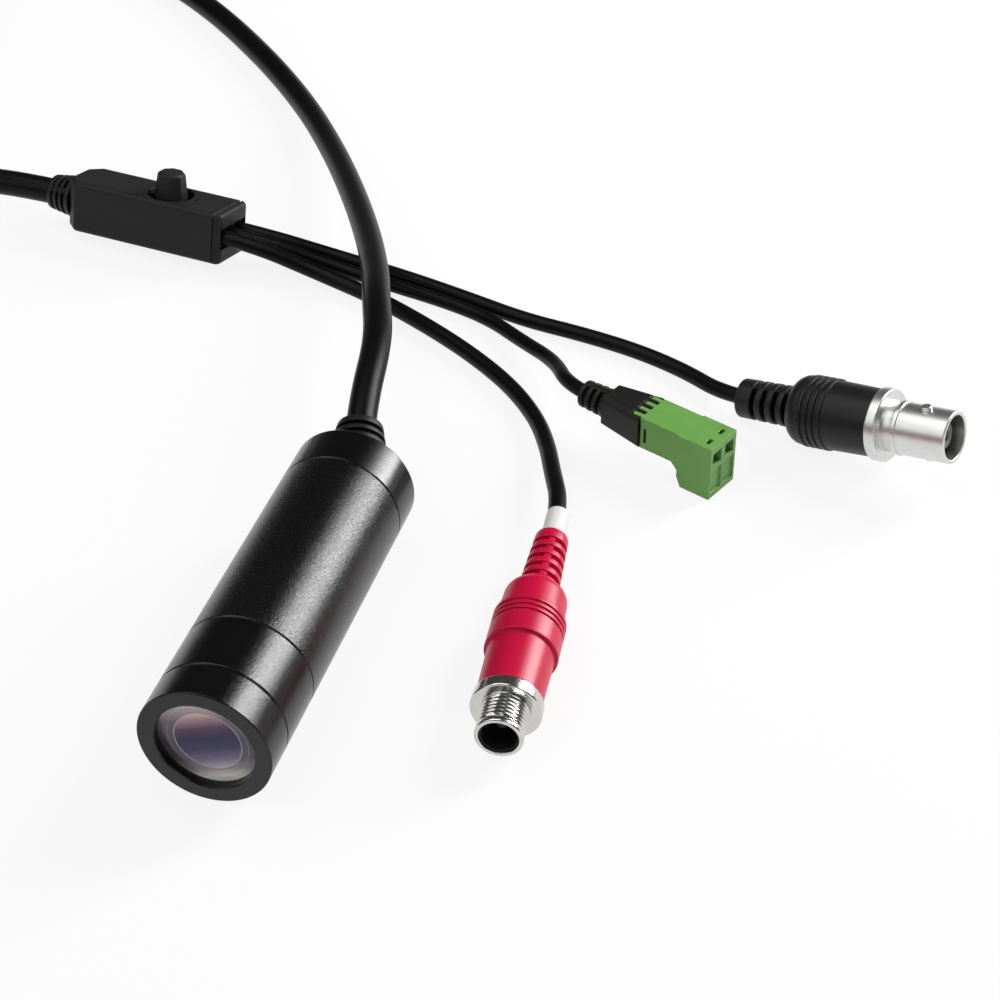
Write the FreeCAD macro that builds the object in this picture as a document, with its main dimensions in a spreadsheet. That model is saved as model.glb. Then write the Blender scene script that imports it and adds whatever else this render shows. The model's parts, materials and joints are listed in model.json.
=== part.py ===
"""Lipstick camera with its cable, control box and three short leads.

Millimetres, +Z up, floor at z = 0. The barrel lies along Y with its window facing -Y, and the
origin is on the floor under the middle of the barrel.
"""
import FreeCAD, Part
import math
import operator
import os
import types

import Sketcher

Vector = FreeCAD.Vector
Placement = FreeCAD.Placement
Rotation = FreeCAD.Rotation
UP = Vector(0, 0, 1)
STAND_UP = Rotation(Vector(1, 0, 0), 90)

SIZES = {
    # camera body, turned from bar; stations run from the front face to the rear face
    "barrel_d": 22.0,
    "cap_len": 6.8,
    "ring_len": 11.3,
    "tube_len": 42.5,
    "tail_len": 8.4,
    "seam_bevel": 0.2,
    "rim_bevel": 0.35,
    "seam_gap": 0.05,
    "slip": 0.05,
    "turn_gap": 0.08,
    "tube_wall": 1.2,
    "spigot_len": 4.0,
    "spigot_wall": 1.75,
    "seal_d": 0.8,
    "seal_groove_len": 1.0,
    "seal_inset": 1.1,
    # front cap and window
    "window_lip": 0.8,
    "opening_bevel": 0.5,
    "lip_len": 1.2,
    "gasket_len": 0.4,
    "window_rim": 2.0,
    "glass_len": 1.2,
    "retainer_len": 1.0,
    "cap_wall": 1.0,
    "cap_room": 0.2,
    # lens
    "lens_room": 0.6,
    "lens_head_d": 15.0,
    "lens_head_len": 4.4,
    "lens_thread_d": 12.0,
    "lens_len": 15.2,
    "front_ring_d": 13.2,
    "front_ring_len": 1.8,
    "front_ring_mouth_d": 12.2,
    "front_ring_throat_d": 10.6,
    "front_ring_lip": 0.3,
    "front_element_d": 11.4,
    "front_element_edge": 1.4,
    "front_element_rise": 1.2,
    "stop_d": 6.0,
    "rear_element_d": 8.0,
    "rear_element_len": 2.2,
    "rear_element_rise": 0.4,
    "lock_ring_d": 15.2,
    "lock_ring_len": 1.6,
    # lens holder, sensor and boards
    "holder_inset": 8.0,
    "holder_septum_room": 0.2,
    "holder_septum_len": 0.5,
    "holder_window_d": 6.6,
    "holder_cell_d": 10.6,
    "holder_flange_room": 0.5,
    "holder_flange_len": 1.2,
    "filter_side": 7.4,
    "filter_len": 0.5,
    "sensor_w": 7.2,
    "sensor_height": 5.8,
    "sensor_len": 1.4,
    "board_len": 1.2,
    "screw_pitch": 14.8,
    "screw_d": 1.5,
    "screw_head_d": 2.8,
    "screw_head_len": 0.8,
    "main_board_room": 1.1,
    "main_board_drop": 2.0,
    "main_board_seat": 2.0,
    "connector_w": 10.0,
    "connector_height": 3.0,
    "connector_len": 4.5,
    "chip_side": 12.0,
    "chip_height": 1.8,
    "chip_inset": 9.0,
    "coil_part_side": 4.0,
    "coil_part_height": 2.5,
    "header_w": 9.0,
    "header_height": 4.0,
    "header_len": 5.0,
    # rear cap and boot
    "rear_wall": 3.0,
    "boot_hole_d": 7.2,
    "boot_snap_d": 10.0,
    "boot_snap_len": 1.2,
    "boot_flange_d": 12.4,
    "boot_flange_len": 1.0,
    "boot_dome_rise": 6.0,
    "boot_tail_root": 3.0,
    "boot_tail_len": 11.5,
    "boot_root_wall": 3.1,
    "boot_tip_wall": 1.4,
    "boot_socket": 7.2,
    "boot_slot_w": 0.9,
    "boot_slot_pitch": 1.9,
    # cables
    "main_cable_d": 5.4,
    "video_cable_d": 3.0,
    "data_cable_d": 2.8,
    "power_cable_d": 3.2,
    "coil_mean_d": 61.0,
    "coil_band": 21.0,
    "coil_height": 11.0,
    "tie_w": 7.0,
    "tie_skin": 0.8,
    "tie_room": 0.35,
    # control box, with its length along its own Y
    "box_len": 37.0,
    "box_w": 12.0,
    "box_height": 10.8,
    "box_wall": 1.3,
    "box_nose": 2.6,
    "box_corner": 0.8,
    "box_round": 0.9,
    "band_inset": 1.8,
    "band_w": 0.7,
    "band_depth": 0.35,
    "pin_hole_d": 1.0,
    "pin_hole_at": 28.1,
    "relief_root_wall": 1.8,
    "relief_tip_wall": 0.9,
    "relief_len": 5.6,
    "relief_slot_w": 0.75,
    "relief_neck_wall": 0.3,
    "relief_snap_rise": 0.55,
    "relief_snap_len": 1.0,
    "lead_pitch": 3.3,
    "lead_height": 5.4,
    "grommet_w": 10.2,
    "grommet_height": 4.2,
    "grommet_len": 2.0,
    "grommet_inset": 0.8,
    "post_height": 2.1,
    "control_board_w": 8.2,
    "control_board_from": 6.0,
    "control_board_to": 33.0,
    "control_board_t": 1.0,
    # joystick
    "knob_at": 22.2,
    "switch_side": 7.2,
    "switch_height": 2.6,
    "switch_well_d": 4.6,
    "switch_floor": 0.5,
    "gimbal_d": 4.0,
    "gimbal_bore_d": 2.7,
    "gimbal_len": 1.2,
    "gimbal_rise": 1.4,
    "gimbal_pin_d": 0.6,
    "stem_pin_d": 0.5,
    "stem_d": 1.8,
    "stem_head_d": 2.6,
    "stem_len": 7.6,
    "knob_hole_d": 9.6,
    "knob_sink": 0.8,
    "knob_height": 5.6,
    "knob_base": 6.6,
    "knob_top": 5.4,
    "knob_round": 0.5,
    "knob_gap": 0.05,
    "press_travel": 0.4,
    "press_room": 0.2,
    # video lead: boot and bayonet jack, stations from the boot's tail
    "video_relief_len": 11.2,
    "video_relief_d": 7.8,
    "video_tip_d": 7.4,
    "video_slot_w": 1.0,
    "video_slot_pitch": 2.3,
    "video_shoulder_len": 3.3,
    "video_shoulder_d": 13.0,
    "video_shoulder_round": 3.0,
    "video_ridge_d": 13.4,
    "video_ridge_len": 5.1,
    "video_groove_w": 0.5,
    "video_groove_depth": 0.35,
    "video_body_len": 9.0,
    "video_body_d": 12.9,
    "video_body_end_d": 12.5,
    "video_stub_d": 8.0,
    "video_stub_len": 9.3,
    "video_flange_d": 13.5,
    "video_flange_len": 2.1,
    "video_neck_d": 8.6,
    "video_neck_len": 2.2,
    "video_barrel_d": 9.65,
    "video_barrel_len": 10.5,
    "video_band_d": 10.1,
    "video_band_len": 0.9,
    "video_bore_d": 8.1,
    "video_bore_len": 11.0,
    "video_core_d": 4.0,
    "video_lug_d": 2.0,
    "video_lug_span": 11.0,
    "video_lug_inset": 5.2,
    "video_disc_len": 1.5,
    "video_sleeve_d": 4.7,
    "video_sleeve_inset": 1.7,
    "video_contact_d": 2.0,
    "video_socket_d": 1.0,
    "video_socket_len": 5.0,
    # power lead: boot and threaded jack, stations from the boot's tail
    "power_relief_len": 13.7,
    "power_relief_d": 7.0,
    "power_tip_d": 5.8,
    "power_slot_w": 1.0,
    "power_slot_pitch": 2.3,
    "power_shoulder_len": 2.8,
    "power_shoulder_round": 2.8,
    "power_neck_len": 4.6,
    "power_neck_d": 10.8,
    "power_ridge_d": 12.3,
    "power_ridge_len": 8.2,
    "power_grip_len": 4.6,
    "power_groove_w": 0.45,
    "power_groove_depth": 0.35,
    "power_body_len": 10.7,
    "power_body_d": 11.2,
    "power_body_end_d": 10.8,
    "power_stub_d": 8.4,
    "power_stub_len": 6.0,
    "power_flange_d": 11.7,
    "power_flange_len": 2.4,
    "power_thread_d": 7.94,
    "power_thread_len": 6.0,
    "power_mouth_bevel": 0.4,
    "power_bore_d": 6.5,
    "power_bore_len": 11.0,
    "power_core_d": 5.0,
    "power_pin_d": 2.1,
    "power_pin_inset": 3.0,
    "power_liner_wall": 0.25,
    "power_liner_inset": 0.5,
    "power_disc_len": 1.5,
    "power_spring_w": 2.0,
    "power_spring_t": 0.3,
    "power_spring_len": 6.5,
    "sleeve_d": 4.1,
    "sleeve_bore_d": 3.7,
    "sleeve_len": 6.0,
    "sleeve_gap": 0.7,
    # data lead: boot and two-way plug, stations from the boot's tail, heights from the floor
    "data_axis_height": 7.8,
    "data_relief_len": 5.8,
    "data_relief_d": 5.8,
    "data_tip_d": 5.2,
    "data_slot_w": 0.7,
    "data_slot_pitch": 1.6,
    "data_wedge_len": 7.1,
    "data_wedge_from": 6.3,
    "data_wedge_w": 8.6,
    "data_wedge_height": 7.2,
    "data_comb_len": 2.2,
    "data_comb_height": 1.8,
    "data_comb_gap": 0.15,
    "finger_w": 1.0,
    "plug_wall": 0.24,
    "plug_height": 11.1,
    "plug_nose_inset": 0.3,
    "plug_nose_len": 8.4,
    "plug_nose_height": 6.6,
    "plug_block_len": 7.2,
    "plug_step": 1.5,
    "plug_heel": 0.9,
    "plug_heel_height": 2.2,
    "side_slot_w": 0.5,
    "side_slot_height": 3.0,
    "side_slot_depth": 0.4,
    "pole_pitch": 3.81,
    "pin_side": 1.0,
    "pin_reach": 7.4,
    "pin_root": 2.6,
    "socket_w": 2.0,
    "socket_height": 2.4,
    "socket_drop": 1.6,
    "contact_w": 1.8,
    "contact_t": 0.8,
    "contact_end": 2.5,
    "wire_hole": 2.6,
    "wire_hole_height": 8.4,
    "chamber_w": 3.3,
    "chamber_len": 4.4,
    "chamber_inset": 2.1,
    "chamber_top": 0.6,
    "cage_gap": 0.15,
    "cage_wall": 0.32,
    "cage_height": 6.2,
    "cage_from": 4.2,
    "clamp_head_d": 3.0,
    "clamp_head_len": 1.5,
    "clamp_head_inset": 0.4,
    "clamp_driver_d": 2.4,
    "clamp_shank_d": 2.2,
    "clamp_shank_to": 6.0,
    "clamp_slot_w": 0.5,
    "clamp_slot_depth": 0.5,
    "panel_w": 3.2,
    "panel_height": 4.8,
    "panel_from": 1.2,
    "panel_depth": 0.35,
    "vent_w": 1.6,
    "vent_len": 0.9,
    "vent_depth": 0.6,
    "vent_inset": 1.4,
}

# where the pieces lie on the floor, with directions as degrees about +Z from +X
BOX_LEFT_END = Vector(-90.5, 114.9, 0)
BOX_HEADING = -7.0
BOX_LEAN = 13.0
VIDEO_TAIL = Vector(58.1, 88.3, 0)
VIDEO_HEADING = -18.7
POWER_TAIL = Vector(35.8, 33.5, 0)
POWER_HEADING = -84.4
DATA_TAIL = Vector(30.6, 75.6, 0)
DATA_HEADING = -22.0
COIL_CENTRE = Vector(-188, 176, 0)
TIE_BEARING = 180.0
BOOT_FLEX = Vector(-3.0, 12.4, 4.0)

# free points of the cable routes between their fixed ends
MAIN_ROUTE_TO_COIL = [
    (-6.3, 66.5, 18.6), (-11.2, 79.4, 18.2), (-15.4, 91.2, 16.2), (-22.2, 106.8, 13.4),
    (-32.4, 126.9, 10.0), (-45.4, 149.9, 6.2), (-60.1, 172.1, 3.5), (-77.1, 191.8, 2.8),
    (-98.8, 212.3, 2.8), (-121.5, 228.5, 2.8), (-147.5, 235.5, 2.9), (-174.0, 229.5, 3.2),
    (-196.0, 215.5, 3.5), (-209.0, 206.0, 3.6),
]
MAIN_ROUTE_FROM_COIL = [
    (-196.0, 138.6, 9.0), (-176.0, 136.4, 8.2), (-156.0, 130.6, 5.6), (-138.0, 125.0, 3.9),
    (-121.0, 119.6, 4.0),
]
POWER_ROUTE = [
    (-33.8, 108.0, 2.6), (-19.4, 103.6, 1.7), (-5.8, 96.4, 1.7), (5.2, 89.4, 1.7),
    (14.8, 81.6, 1.8), (22.2, 72.4, 2.4), (27.0, 62.6, 4.0), (30.2, 54.0, 5.5),
]
DATA_ROUTE = [
    (-33.8, 111.9, 2.6), (-19.2, 109.6, 1.5), (-7.0, 107.0, 1.5), (3.6, 103.3, 1.6), (12.4, 96.4, 2.4),
    (21.4, 88.4, 4.6),
]
VIDEO_ROUTE = [
    (-33.0, 115.4, 2.4), (-17.6, 113.2, 1.6), (-3.2, 109.2, 1.6), (10.4, 104.9, 1.6), (22.8, 103.2, 1.6),
    (34.6, 100.6, 1.6), (45.0, 96.4, 1.7),
]
LEAD_EXIT_RUN = 9.0
BOOT_EXIT_RUN = 5.5
POWER_TAIL_RUN = 9.0
DATA_TAIL_RUN = 4.0
VIDEO_TAIL_RUN = 4.5
TAIL_SEAT = 3.0
ARC_SHARE = 0.45


class Size:
    """A number that keeps the sheet formula it was worked out from."""

    def __init__(self, value, formula):
        self.value = float(value)
        self.formula = formula

    def __float__(self):
        return self.value

    def __add__(self, other):
        return joined(self, "+", other)

    def __radd__(self, other):
        return joined(other, "+", self)

    def __sub__(self, other):
        return joined(self, "-", other)

    def __rsub__(self, other):
        return joined(other, "-", self)

    def __mul__(self, other):
        return joined(self, "*", other)

    def __rmul__(self, other):
        return joined(other, "*", self)

    def __truediv__(self, other):
        return joined(self, "/", other)

    def __neg__(self):
        return joined(0, "-", self)


SIGNS = {"+": operator.add, "-": operator.sub, "*": operator.mul, "/": operator.truediv}


def formula_of(number):
    return number.formula if isinstance(number, Size) else repr(float(number))


def joined(left, sign, right):
    value = SIGNS[sign](float(left), float(right))
    return Size(value, f"({formula_of(left)} {sign} {formula_of(right)})")


def make_sheet(document):
    """Writes every driving size to the sheet and returns them by name."""
    sheet = document.addObject("Spreadsheet::Sheet", "Dims")
    named = {}
    for row, (alias, value) in enumerate(SIZES.items(), start=1):
        sheet.set(f"A{row}", alias)
        sheet.set(f"B{row}", str(value))
        sheet.setAlias(f"B{row}", alias)
        named[alias] = Size(value, f"Dims.{alias}")
    document.recompute()
    return types.SimpleNamespace(**named)


doc = FreeCAD.newDocument("lipstick_camera")
S = make_sheet(doc)
sub_parts = []


def bind(item, prop, number):
    """Sets a property to a number and, where it comes from the sheet, ties it to the formula."""
    if isinstance(number, Size):
        item.setExpression(prop, number.formula)
    else:
        setattr(item, prop, number)


def keep(item, name, place=None):
    """Names a finished sub-part and puts it in its place."""
    item.Label = name
    if place is not None:
        item.Placement = place
    sub_parts.append(item)
    return item


def new_body(name):
    return doc.addObject("PartDesign::Body", name)


def new_sketch(body, plane, along=0, offset=None):
    """A sketch on one of the body's own planes, moved along that plane's axis."""
    sketch = body.newObject("Sketcher::SketchObject", f"{body.Name}_sketch")
    support = next(f for f in body.Origin.OriginFeatures if f.Role == f"{plane}_Plane")
    sketch.AttachmentSupport = [(support, "")]
    sketch.MapMode = "FlatFace"
    if offset is not None:
        sketch.AttachmentOffset = offset
    shift = -along if plane == "XZ" else along
    if isinstance(shift, Size):
        sketch.setExpression("AttachmentOffset.Base.z", shift.formula)
    elif shift:
        sketch.AttachmentOffset = Placement(Vector(0, 0, shift), Rotation())
    return sketch


def arc_side(start, end, radius):
    """The arc from one corner to the next; a negative radius bulges to the left of the way."""
    chord = end - start
    middle = (start + end) * 0.5
    normal = Vector(-chord.y, chord.x, 0).normalize()
    reach = math.sqrt(radius * radius - chord.Length ** 2 / 4)
    centre = middle + normal * math.copysign(reach, radius)
    bulge = centre + (middle - centre).normalize() * abs(radius)
    if radius < 0:
        return Part.ArcOfCircle(end, bulge, start)
    return Part.ArcOfCircle(start, bulge, end)


def draw(sketch, outline):
    """Draws a closed outline whose corners, and any arc radius, are held by the sheet.

    A corner is (x, y), or (x, y, radius) where the side that follows it is an arc.
    """
    first = sketch.GeometryCount
    count = len(outline)
    points = [Vector(float(c[0]), float(c[1]), 0) for c in outline]
    sides = []
    ends = []
    for index, corner in enumerate(outline):
        start = points[index]
        end = points[(index + 1) % count]
        if len(corner) == 3:
            side = arc_side(start, end, float(corner[2]))
            forward = side.StartPoint.isEqual(start, 1e-6)
            ends.append((1, 2) if forward else (2, 1))
        else:
            side = Part.LineSegment(start, end)
            ends.append((1, 2))
        sides.append(side)
    sketch.addGeometry(sides, False)
    rules = []
    held = []
    for index, corner in enumerate(outline):
        after = (index + 1) % count
        rules.append(Sketcher.Constraint("Coincident", first + index, ends[index][1], first + after, ends[after][0]))
    for index, corner in enumerate(outline):
        for kind, number in zip(("DistanceX", "DistanceY"), corner):
            held.append((len(rules), number))
            rules.append(Sketcher.Constraint(kind, first + index, ends[index][0], float(number)))
        if len(corner) == 3:
            radius = corner[2] if float(corner[2]) > 0 else 0 - corner[2]
            held.append((len(rules), radius))
            rules.append(Sketcher.Constraint("Radius", first + index, float(radius)))
    hold(sketch, rules, held)


def draw_circle(sketch, x, y, diameter):
    index = sketch.GeometryCount
    radius = diameter / 2
    sketch.addGeometry(Part.Circle(Vector(float(x), float(y), 0), UP, float(radius)), False)
    rules = [
        Sketcher.Constraint("DistanceX", index, 3, float(x)),
        Sketcher.Constraint("DistanceY", index, 3, float(y)),
        Sketcher.Constraint("Radius", index, float(radius)),
    ]
    hold(sketch, rules, list(enumerate((x, y, radius))))


def hold(sketch, rules, held):
    base = sketch.ConstraintCount
    sketch.addConstraint(rules)
    for offset, number in held:
        if isinstance(number, Size):
            sketch.setExpression(f"Constraints[{base + offset}]", number.formula)


def draw_all(sketch, shapes):
    """Draws outlines, given as lists of corners, and circles, given as (x, y, diameter)."""
    for shape in shapes:
        if isinstance(shape, tuple):
            draw_circle(sketch, *shape)
        else:
            draw(sketch, shape)


def rectangle(x_from, x_to, y_from, y_to):
    return [(x_from, y_from), (x_to, y_from), (x_to, y_to), (x_from, y_to)]


def turn(body, outline, kind="Revolution", angle=360.0, offset=None):
    """Revolves an outline of (radius, station) corners about the body's Y axis."""
    sketch = new_sketch(body, "XY", offset=offset)
    draw_all(sketch, outline)
    feature = body.newObject(f"PartDesign::{kind}", f"{body.Name}_turned")
    feature.Profile = sketch
    feature.ReferenceAxis = (sketch, ["V_Axis"])
    feature.Midplane = angle < 360
    feature.Angle = angle
    return feature


def turned(name, outline, place):
    body = new_body(name)
    turn(body, [outline])
    return keep(body, name, place)


def pad(body, plane, shapes, start, length):
    """Adds material from a start along the plane's axis for a length."""
    sketch = new_sketch(body, plane, start)
    draw_all(sketch, shapes)
    feature = body.newObject("PartDesign::Pad", f"{body.Name}_pad")
    feature.Profile = sketch
    bind(feature, "Length", length)
    feature.Reversed = plane == "XZ"
    return feature


def pocket(body, plane, shapes, start, length):
    """Removes material from a start along the plane's axis for a length."""
    doc.recompute()
    before = body.Shape.Volume
    sketch = new_sketch(body, plane, start)
    draw_all(sketch, shapes)
    feature = body.newObject("PartDesign::Pocket", f"{body.Name}_pocket")
    feature.Profile = sketch
    bind(feature, "Length", length)
    feature.Reversed = plane != "XZ"
    doc.recompute()
    if not 0 < body.Shape.Volume < before:
        raise RuntimeError(f"{feature.Name} removes nothing, or everything")
    return feature


def slot_rings(body, stations, width, inner, outer, gap_angle, offset=None):
    """Cuts part-ring slots on both sides, leaving a spine above and below."""
    doc.recompute()
    before = body.Shape.Volume
    rings = [rectangle(inner, outer, at - width / 2, at + width / 2) for at in stations]
    groove = turn(body, rings, "Groove", 180.0 - gap_angle, offset)
    doc.recompute()
    pattern = body.newObject("PartDesign::PolarPattern", f"{body.Name}_sides")
    pattern.Originals = [groove]
    pattern.Axis = (groove.Profile[0], ["V_Axis"])
    pattern.Angle = 360
    pattern.Occurrences = 2
    body.Tip = pattern
    doc.recompute()
    if body.Shape.Volume >= before:
        raise RuntimeError(f"{groove.Name} removes nothing")


def soften(body, kind, size, chosen):
    """Fillets or chamfers the edges of the body that a test picks."""
    doc.recompute()
    under = body.Tip
    names = [f"Edge{i}" for i, edge in enumerate(under.Shape.Edges, start=1) if chosen(edge)]
    feature = body.newObject(f"PartDesign::{kind}", f"{body.Name}_{kind.lower()}")
    feature.Base = (under, names)
    bind(feature, "Radius" if kind == "Fillet" else "Size", size)
    body.Tip = feature
    return feature


def block(name, x, y, z, place):
    """A plain block between pairs of limits."""
    item = doc.addObject("Part::Box", name)
    for prop, axis, (low, high) in zip(("Length", "Width", "Height"), "xyz", (x, y, z)):
        bind(item, prop, high - low)
        corner = place.multVec(Vector(float(x[0]), float(y[0]), float(z[0])))
    return keep(item, name, Placement(corner, place.Rotation))


def ring_seal(name, radius, station, place):
    seal = doc.addObject("Part::Torus", name)
    bind(seal, "Radius1", radius)
    bind(seal, "Radius2", S.seal_d / 2)
    return keep(seal, name, place * Placement(Vector(0, float(station), 0), STAND_UP))


def group(name, items):
    """Several separate solids that share one node."""
    for item in items:
        sub_parts.remove(item)
        item.Label = f"{name}_piece"
    compound = doc.addObject("Part::Compound", name)
    compound.Links = items
    return keep(compound, name)


def aim(base, along, lean=0.0):
    """A placement whose Y axis points along a direction, leaning about it."""
    forward = Vector(along).normalize()
    top = (UP - forward * forward.z).normalize()
    side = forward.cross(top)
    return Placement(base, Rotation(side, forward, top, "YZX") * Rotation(Vector(0, 1, 0), lean))


def heading(degrees):
    return Vector(math.cos(math.radians(degrees)), math.sin(math.radians(degrees)), 0)


def cable(name, points, diameter):
    """A tube along straight runs joined by the largest tangent arcs that the runs allow."""
    edges = []
    radii = []
    last = points[0]
    for before, corner, after in zip(points, points[1:], points[2:]):
        back = before - corner
        ahead = after - corner
        reach = ARC_SHARE * min(back.Length, ahead.Length)
        half_turn = (math.pi - back.getAngle(ahead)) / 2
        radius = reach / math.tan(half_turn)
        back.normalize()
        ahead.normalize()
        inward = (back + ahead).normalize()
        middle = corner + inward * (radius / math.cos(half_turn) - radius)
        edges.append(Part.LineSegment(last, corner + back * reach).toShape())
        edges.append(Part.Arc(corner + back * reach, middle, corner + ahead * reach).toShape())
        last = corner + ahead * reach
        radii.append(radius)
    edges.append(Part.LineSegment(last, points[-1]).toShape())
    path = Part.Wire(edges)
    start = (points[1] - points[0]).normalize()
    section = Part.Wire([Part.makeCircle(float(diameter) / 2, points[0], start)])
    tube = path.makePipeShell([section], True, False)
    expected = math.pi * float(diameter) ** 2 / 4 * path.Length
    runs = [(b - a).Length for a, b in zip(points, points[1:])]
    print(f"{name}: length {path.Length:.1f}, volume ratio {tube.Volume / expected:.4f},",
          f"radii {min(radii):.0f} to {max(radii):.0f}, runs {[round(r) for r in runs]}")
    item = doc.addObject("Part::Feature", name)
    item.Shape = tube
    return keep(item, name)


def grooved(radius, start, end, count, width, depth):
    """Outline corners of a ridged band: evenly spaced grooves in a raised ring."""
    pitch = (end - start) / (count + 1)
    corners = [(radius, start)]
    for index in range(1, count + 1):
        middle = start + pitch * index
        corners.append((radius, middle - width / 2))
        corners.append((radius - depth, middle - width / 2))
        corners.append((radius - depth, middle + width / 2))
        corners.append((radius, middle + width / 2))
    corners.append((radius, end))
    return corners


# widths that follow from the sheet's walls and gaps
S.tube_bore_d = S.barrel_d - 2 * S.tube_wall
S.spigot_bore_d = S.tube_bore_d - 2 * (S.slip + S.spigot_wall)
S.cap_thread_d = S.barrel_d - 2 * S.cap_wall
S.glass_d = S.barrel_d - 2 * S.window_rim
S.opening_d = S.glass_d - 2 * S.window_lip
S.holder_flange_d = S.tube_bore_d - 2 * S.holder_flange_room
S.main_board_w = S.tube_bore_d - 2 * S.main_board_room
S.boot_tail_d = S.main_cable_d + 2 * S.boot_root_wall
S.boot_tip_d = S.main_cable_d + 2 * S.boot_tip_wall
S.relief_d = S.main_cable_d + 2 * S.relief_root_wall
S.relief_tip_d = S.main_cable_d + 2 * S.relief_tip_wall
S.relief_neck_d = S.main_cable_d + 2 * S.relief_neck_wall
S.relief_snap_d = S.relief_neck_d + 2 * S.relief_snap_rise
# the snap ring sits where the cut nose is wide enough for it
S.relief_seat = S.relief_snap_d / 2 + 2 * S.slip - S.box_w / 2 + S.box_nose + 1.5 * S.box_wall
S.plug_w = 2 * (S.pole_pitch + S.plug_wall)
S.plug_nose_w = S.plug_w - 2 * S.plug_nose_inset
S.finger_pitch = S.pole_pitch / 2

# shared stations and radii of the camera head
barrel_r = S.barrel_d / 2
cap_end = S.cap_len
ring_end = cap_end + S.ring_len
tube_end = ring_end + S.tube_len
barrel_len = tube_end + S.tail_len
opening_r = S.opening_d / 2
glass_r = S.glass_d / 2
gasket_end = S.lip_len + S.gasket_len
glass_end = gasket_end + S.glass_len
retainer_end = glass_end + S.retainer_len
spigot_front = retainer_end + S.cap_room
thread_spigot_r = S.cap_thread_d / 2 - S.turn_gap
plain_spigot_r = S.tube_bore_d / 2 - S.slip
spigot_bore_r = S.spigot_bore_d / 2
front_spigot_end = ring_end + S.spigot_len
rear_spigot_front = tube_end - S.spigot_len
lens_front = spigot_front + S.lens_room
lens_back = lens_front + S.lens_len
holder_front = lens_front + S.holder_inset
holder_back = front_spigot_end + S.holder_flange_len
septum_front = lens_back + S.holder_septum_room
septum_back = septum_front + S.holder_septum_len
board_back = holder_back + S.board_len
main_board_top = S.board_len / 2 - S.main_board_drop
main_board_end = rear_spigot_front + S.main_board_seat
cable_r = S.main_cable_d / 2
HEAD = Placement(Vector(0, float(barrel_len) / -2, float(barrel_r)), Rotation())


def seal_groove(spigot_r, start):
    """Corners of an O-ring groove in a spigot."""
    floor_r = spigot_r - S.seal_d
    end = start + S.seal_groove_len
    return [(spigot_r, start), (floor_r, start), (floor_r, end), (spigot_r, end)]


def make_front_cap():
    bore_r = glass_r + S.slip
    thread_r = S.cap_thread_d / 2
    back = cap_end - S.seam_gap
    turned("front_cap", [
        (opening_r + S.opening_bevel, 0), (barrel_r - S.rim_bevel, 0), (barrel_r, S.rim_bevel),
        (barrel_r, back - S.seam_bevel), (barrel_r - S.seam_bevel, back), (thread_r, back),
        (thread_r, retainer_end), (bore_r, retainer_end), (bore_r, S.lip_len), (opening_r, S.lip_len),
        (opening_r, S.opening_bevel),
    ], HEAD)
    turned("window_gasket", rectangle(opening_r, glass_r, S.lip_len, gasket_end), HEAD)
    turned("window_glass", rectangle(0, glass_r, gasket_end, glass_end), HEAD)
    turned("window_retainer", rectangle(opening_r, glass_r, glass_end, retainer_end), HEAD)


def make_lens_housing():
    cap_groove = cap_end - S.seal_inset - S.seal_groove_len / 2
    tube_groove = front_spigot_end - S.seal_inset - S.seal_groove_len
    turned("lens_housing", [
        (spigot_bore_r, spigot_front), (thread_spigot_r, spigot_front),
        *seal_groove(thread_spigot_r, cap_groove), (thread_spigot_r, cap_end),
        (barrel_r - S.seam_bevel, cap_end), (barrel_r, cap_end + S.seam_bevel),
        (barrel_r, ring_end - S.seam_bevel), (barrel_r - S.seam_bevel, ring_end),
        (plain_spigot_r, ring_end), *seal_groove(plain_spigot_r, tube_groove),
        (plain_spigot_r, front_spigot_end), (spigot_bore_r, front_spigot_end),
    ], HEAD)
    half = S.seal_groove_len / 2
    ring_seal("cap_seal", thread_spigot_r - S.seal_d / 2, cap_groove + half, HEAD)
    ring_seal("body_seal", plain_spigot_r - S.seal_d / 2, tube_groove + half, HEAD)


def make_main_tube():
    bore_r = S.tube_bore_d / 2
    turned("main_tube", [
        (bore_r, ring_end), (barrel_r - S.seam_bevel, ring_end), (barrel_r, ring_end + S.seam_bevel),
        (barrel_r, tube_end - S.seam_bevel), (barrel_r - S.seam_bevel, tube_end), (bore_r, tube_end),
    ], HEAD)


def make_rear_cap():
    groove = tube_end - S.seal_inset - S.seal_groove_len / 2
    hole_r = S.boot_hole_d / 2
    floor = barrel_len - S.rear_wall
    cap = turned("rear_cap", [
        (spigot_bore_r, rear_spigot_front), (plain_spigot_r, rear_spigot_front),
        *seal_groove(plain_spigot_r, groove), (plain_spigot_r, tube_end),
        (barrel_r - S.seam_bevel, tube_end), (barrel_r, tube_end + S.seam_bevel),
        (barrel_r, barrel_len - S.rim_bevel), (barrel_r - S.rim_bevel, barrel_len),
        (hole_r, barrel_len), (hole_r, floor), (spigot_bore_r, floor),
    ], HEAD)
    low = main_board_top - S.board_len - S.slip
    board_slot = rectangle(-barrel_r, barrel_r, low, main_board_top + S.slip)
    pocket(cap, "XZ", [board_slot], rear_spigot_front, S.main_board_seat + S.slip)
    ring_seal("rear_seal", plain_spigot_r - S.seal_d / 2, groove + S.seal_groove_len / 2, HEAD)


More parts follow.
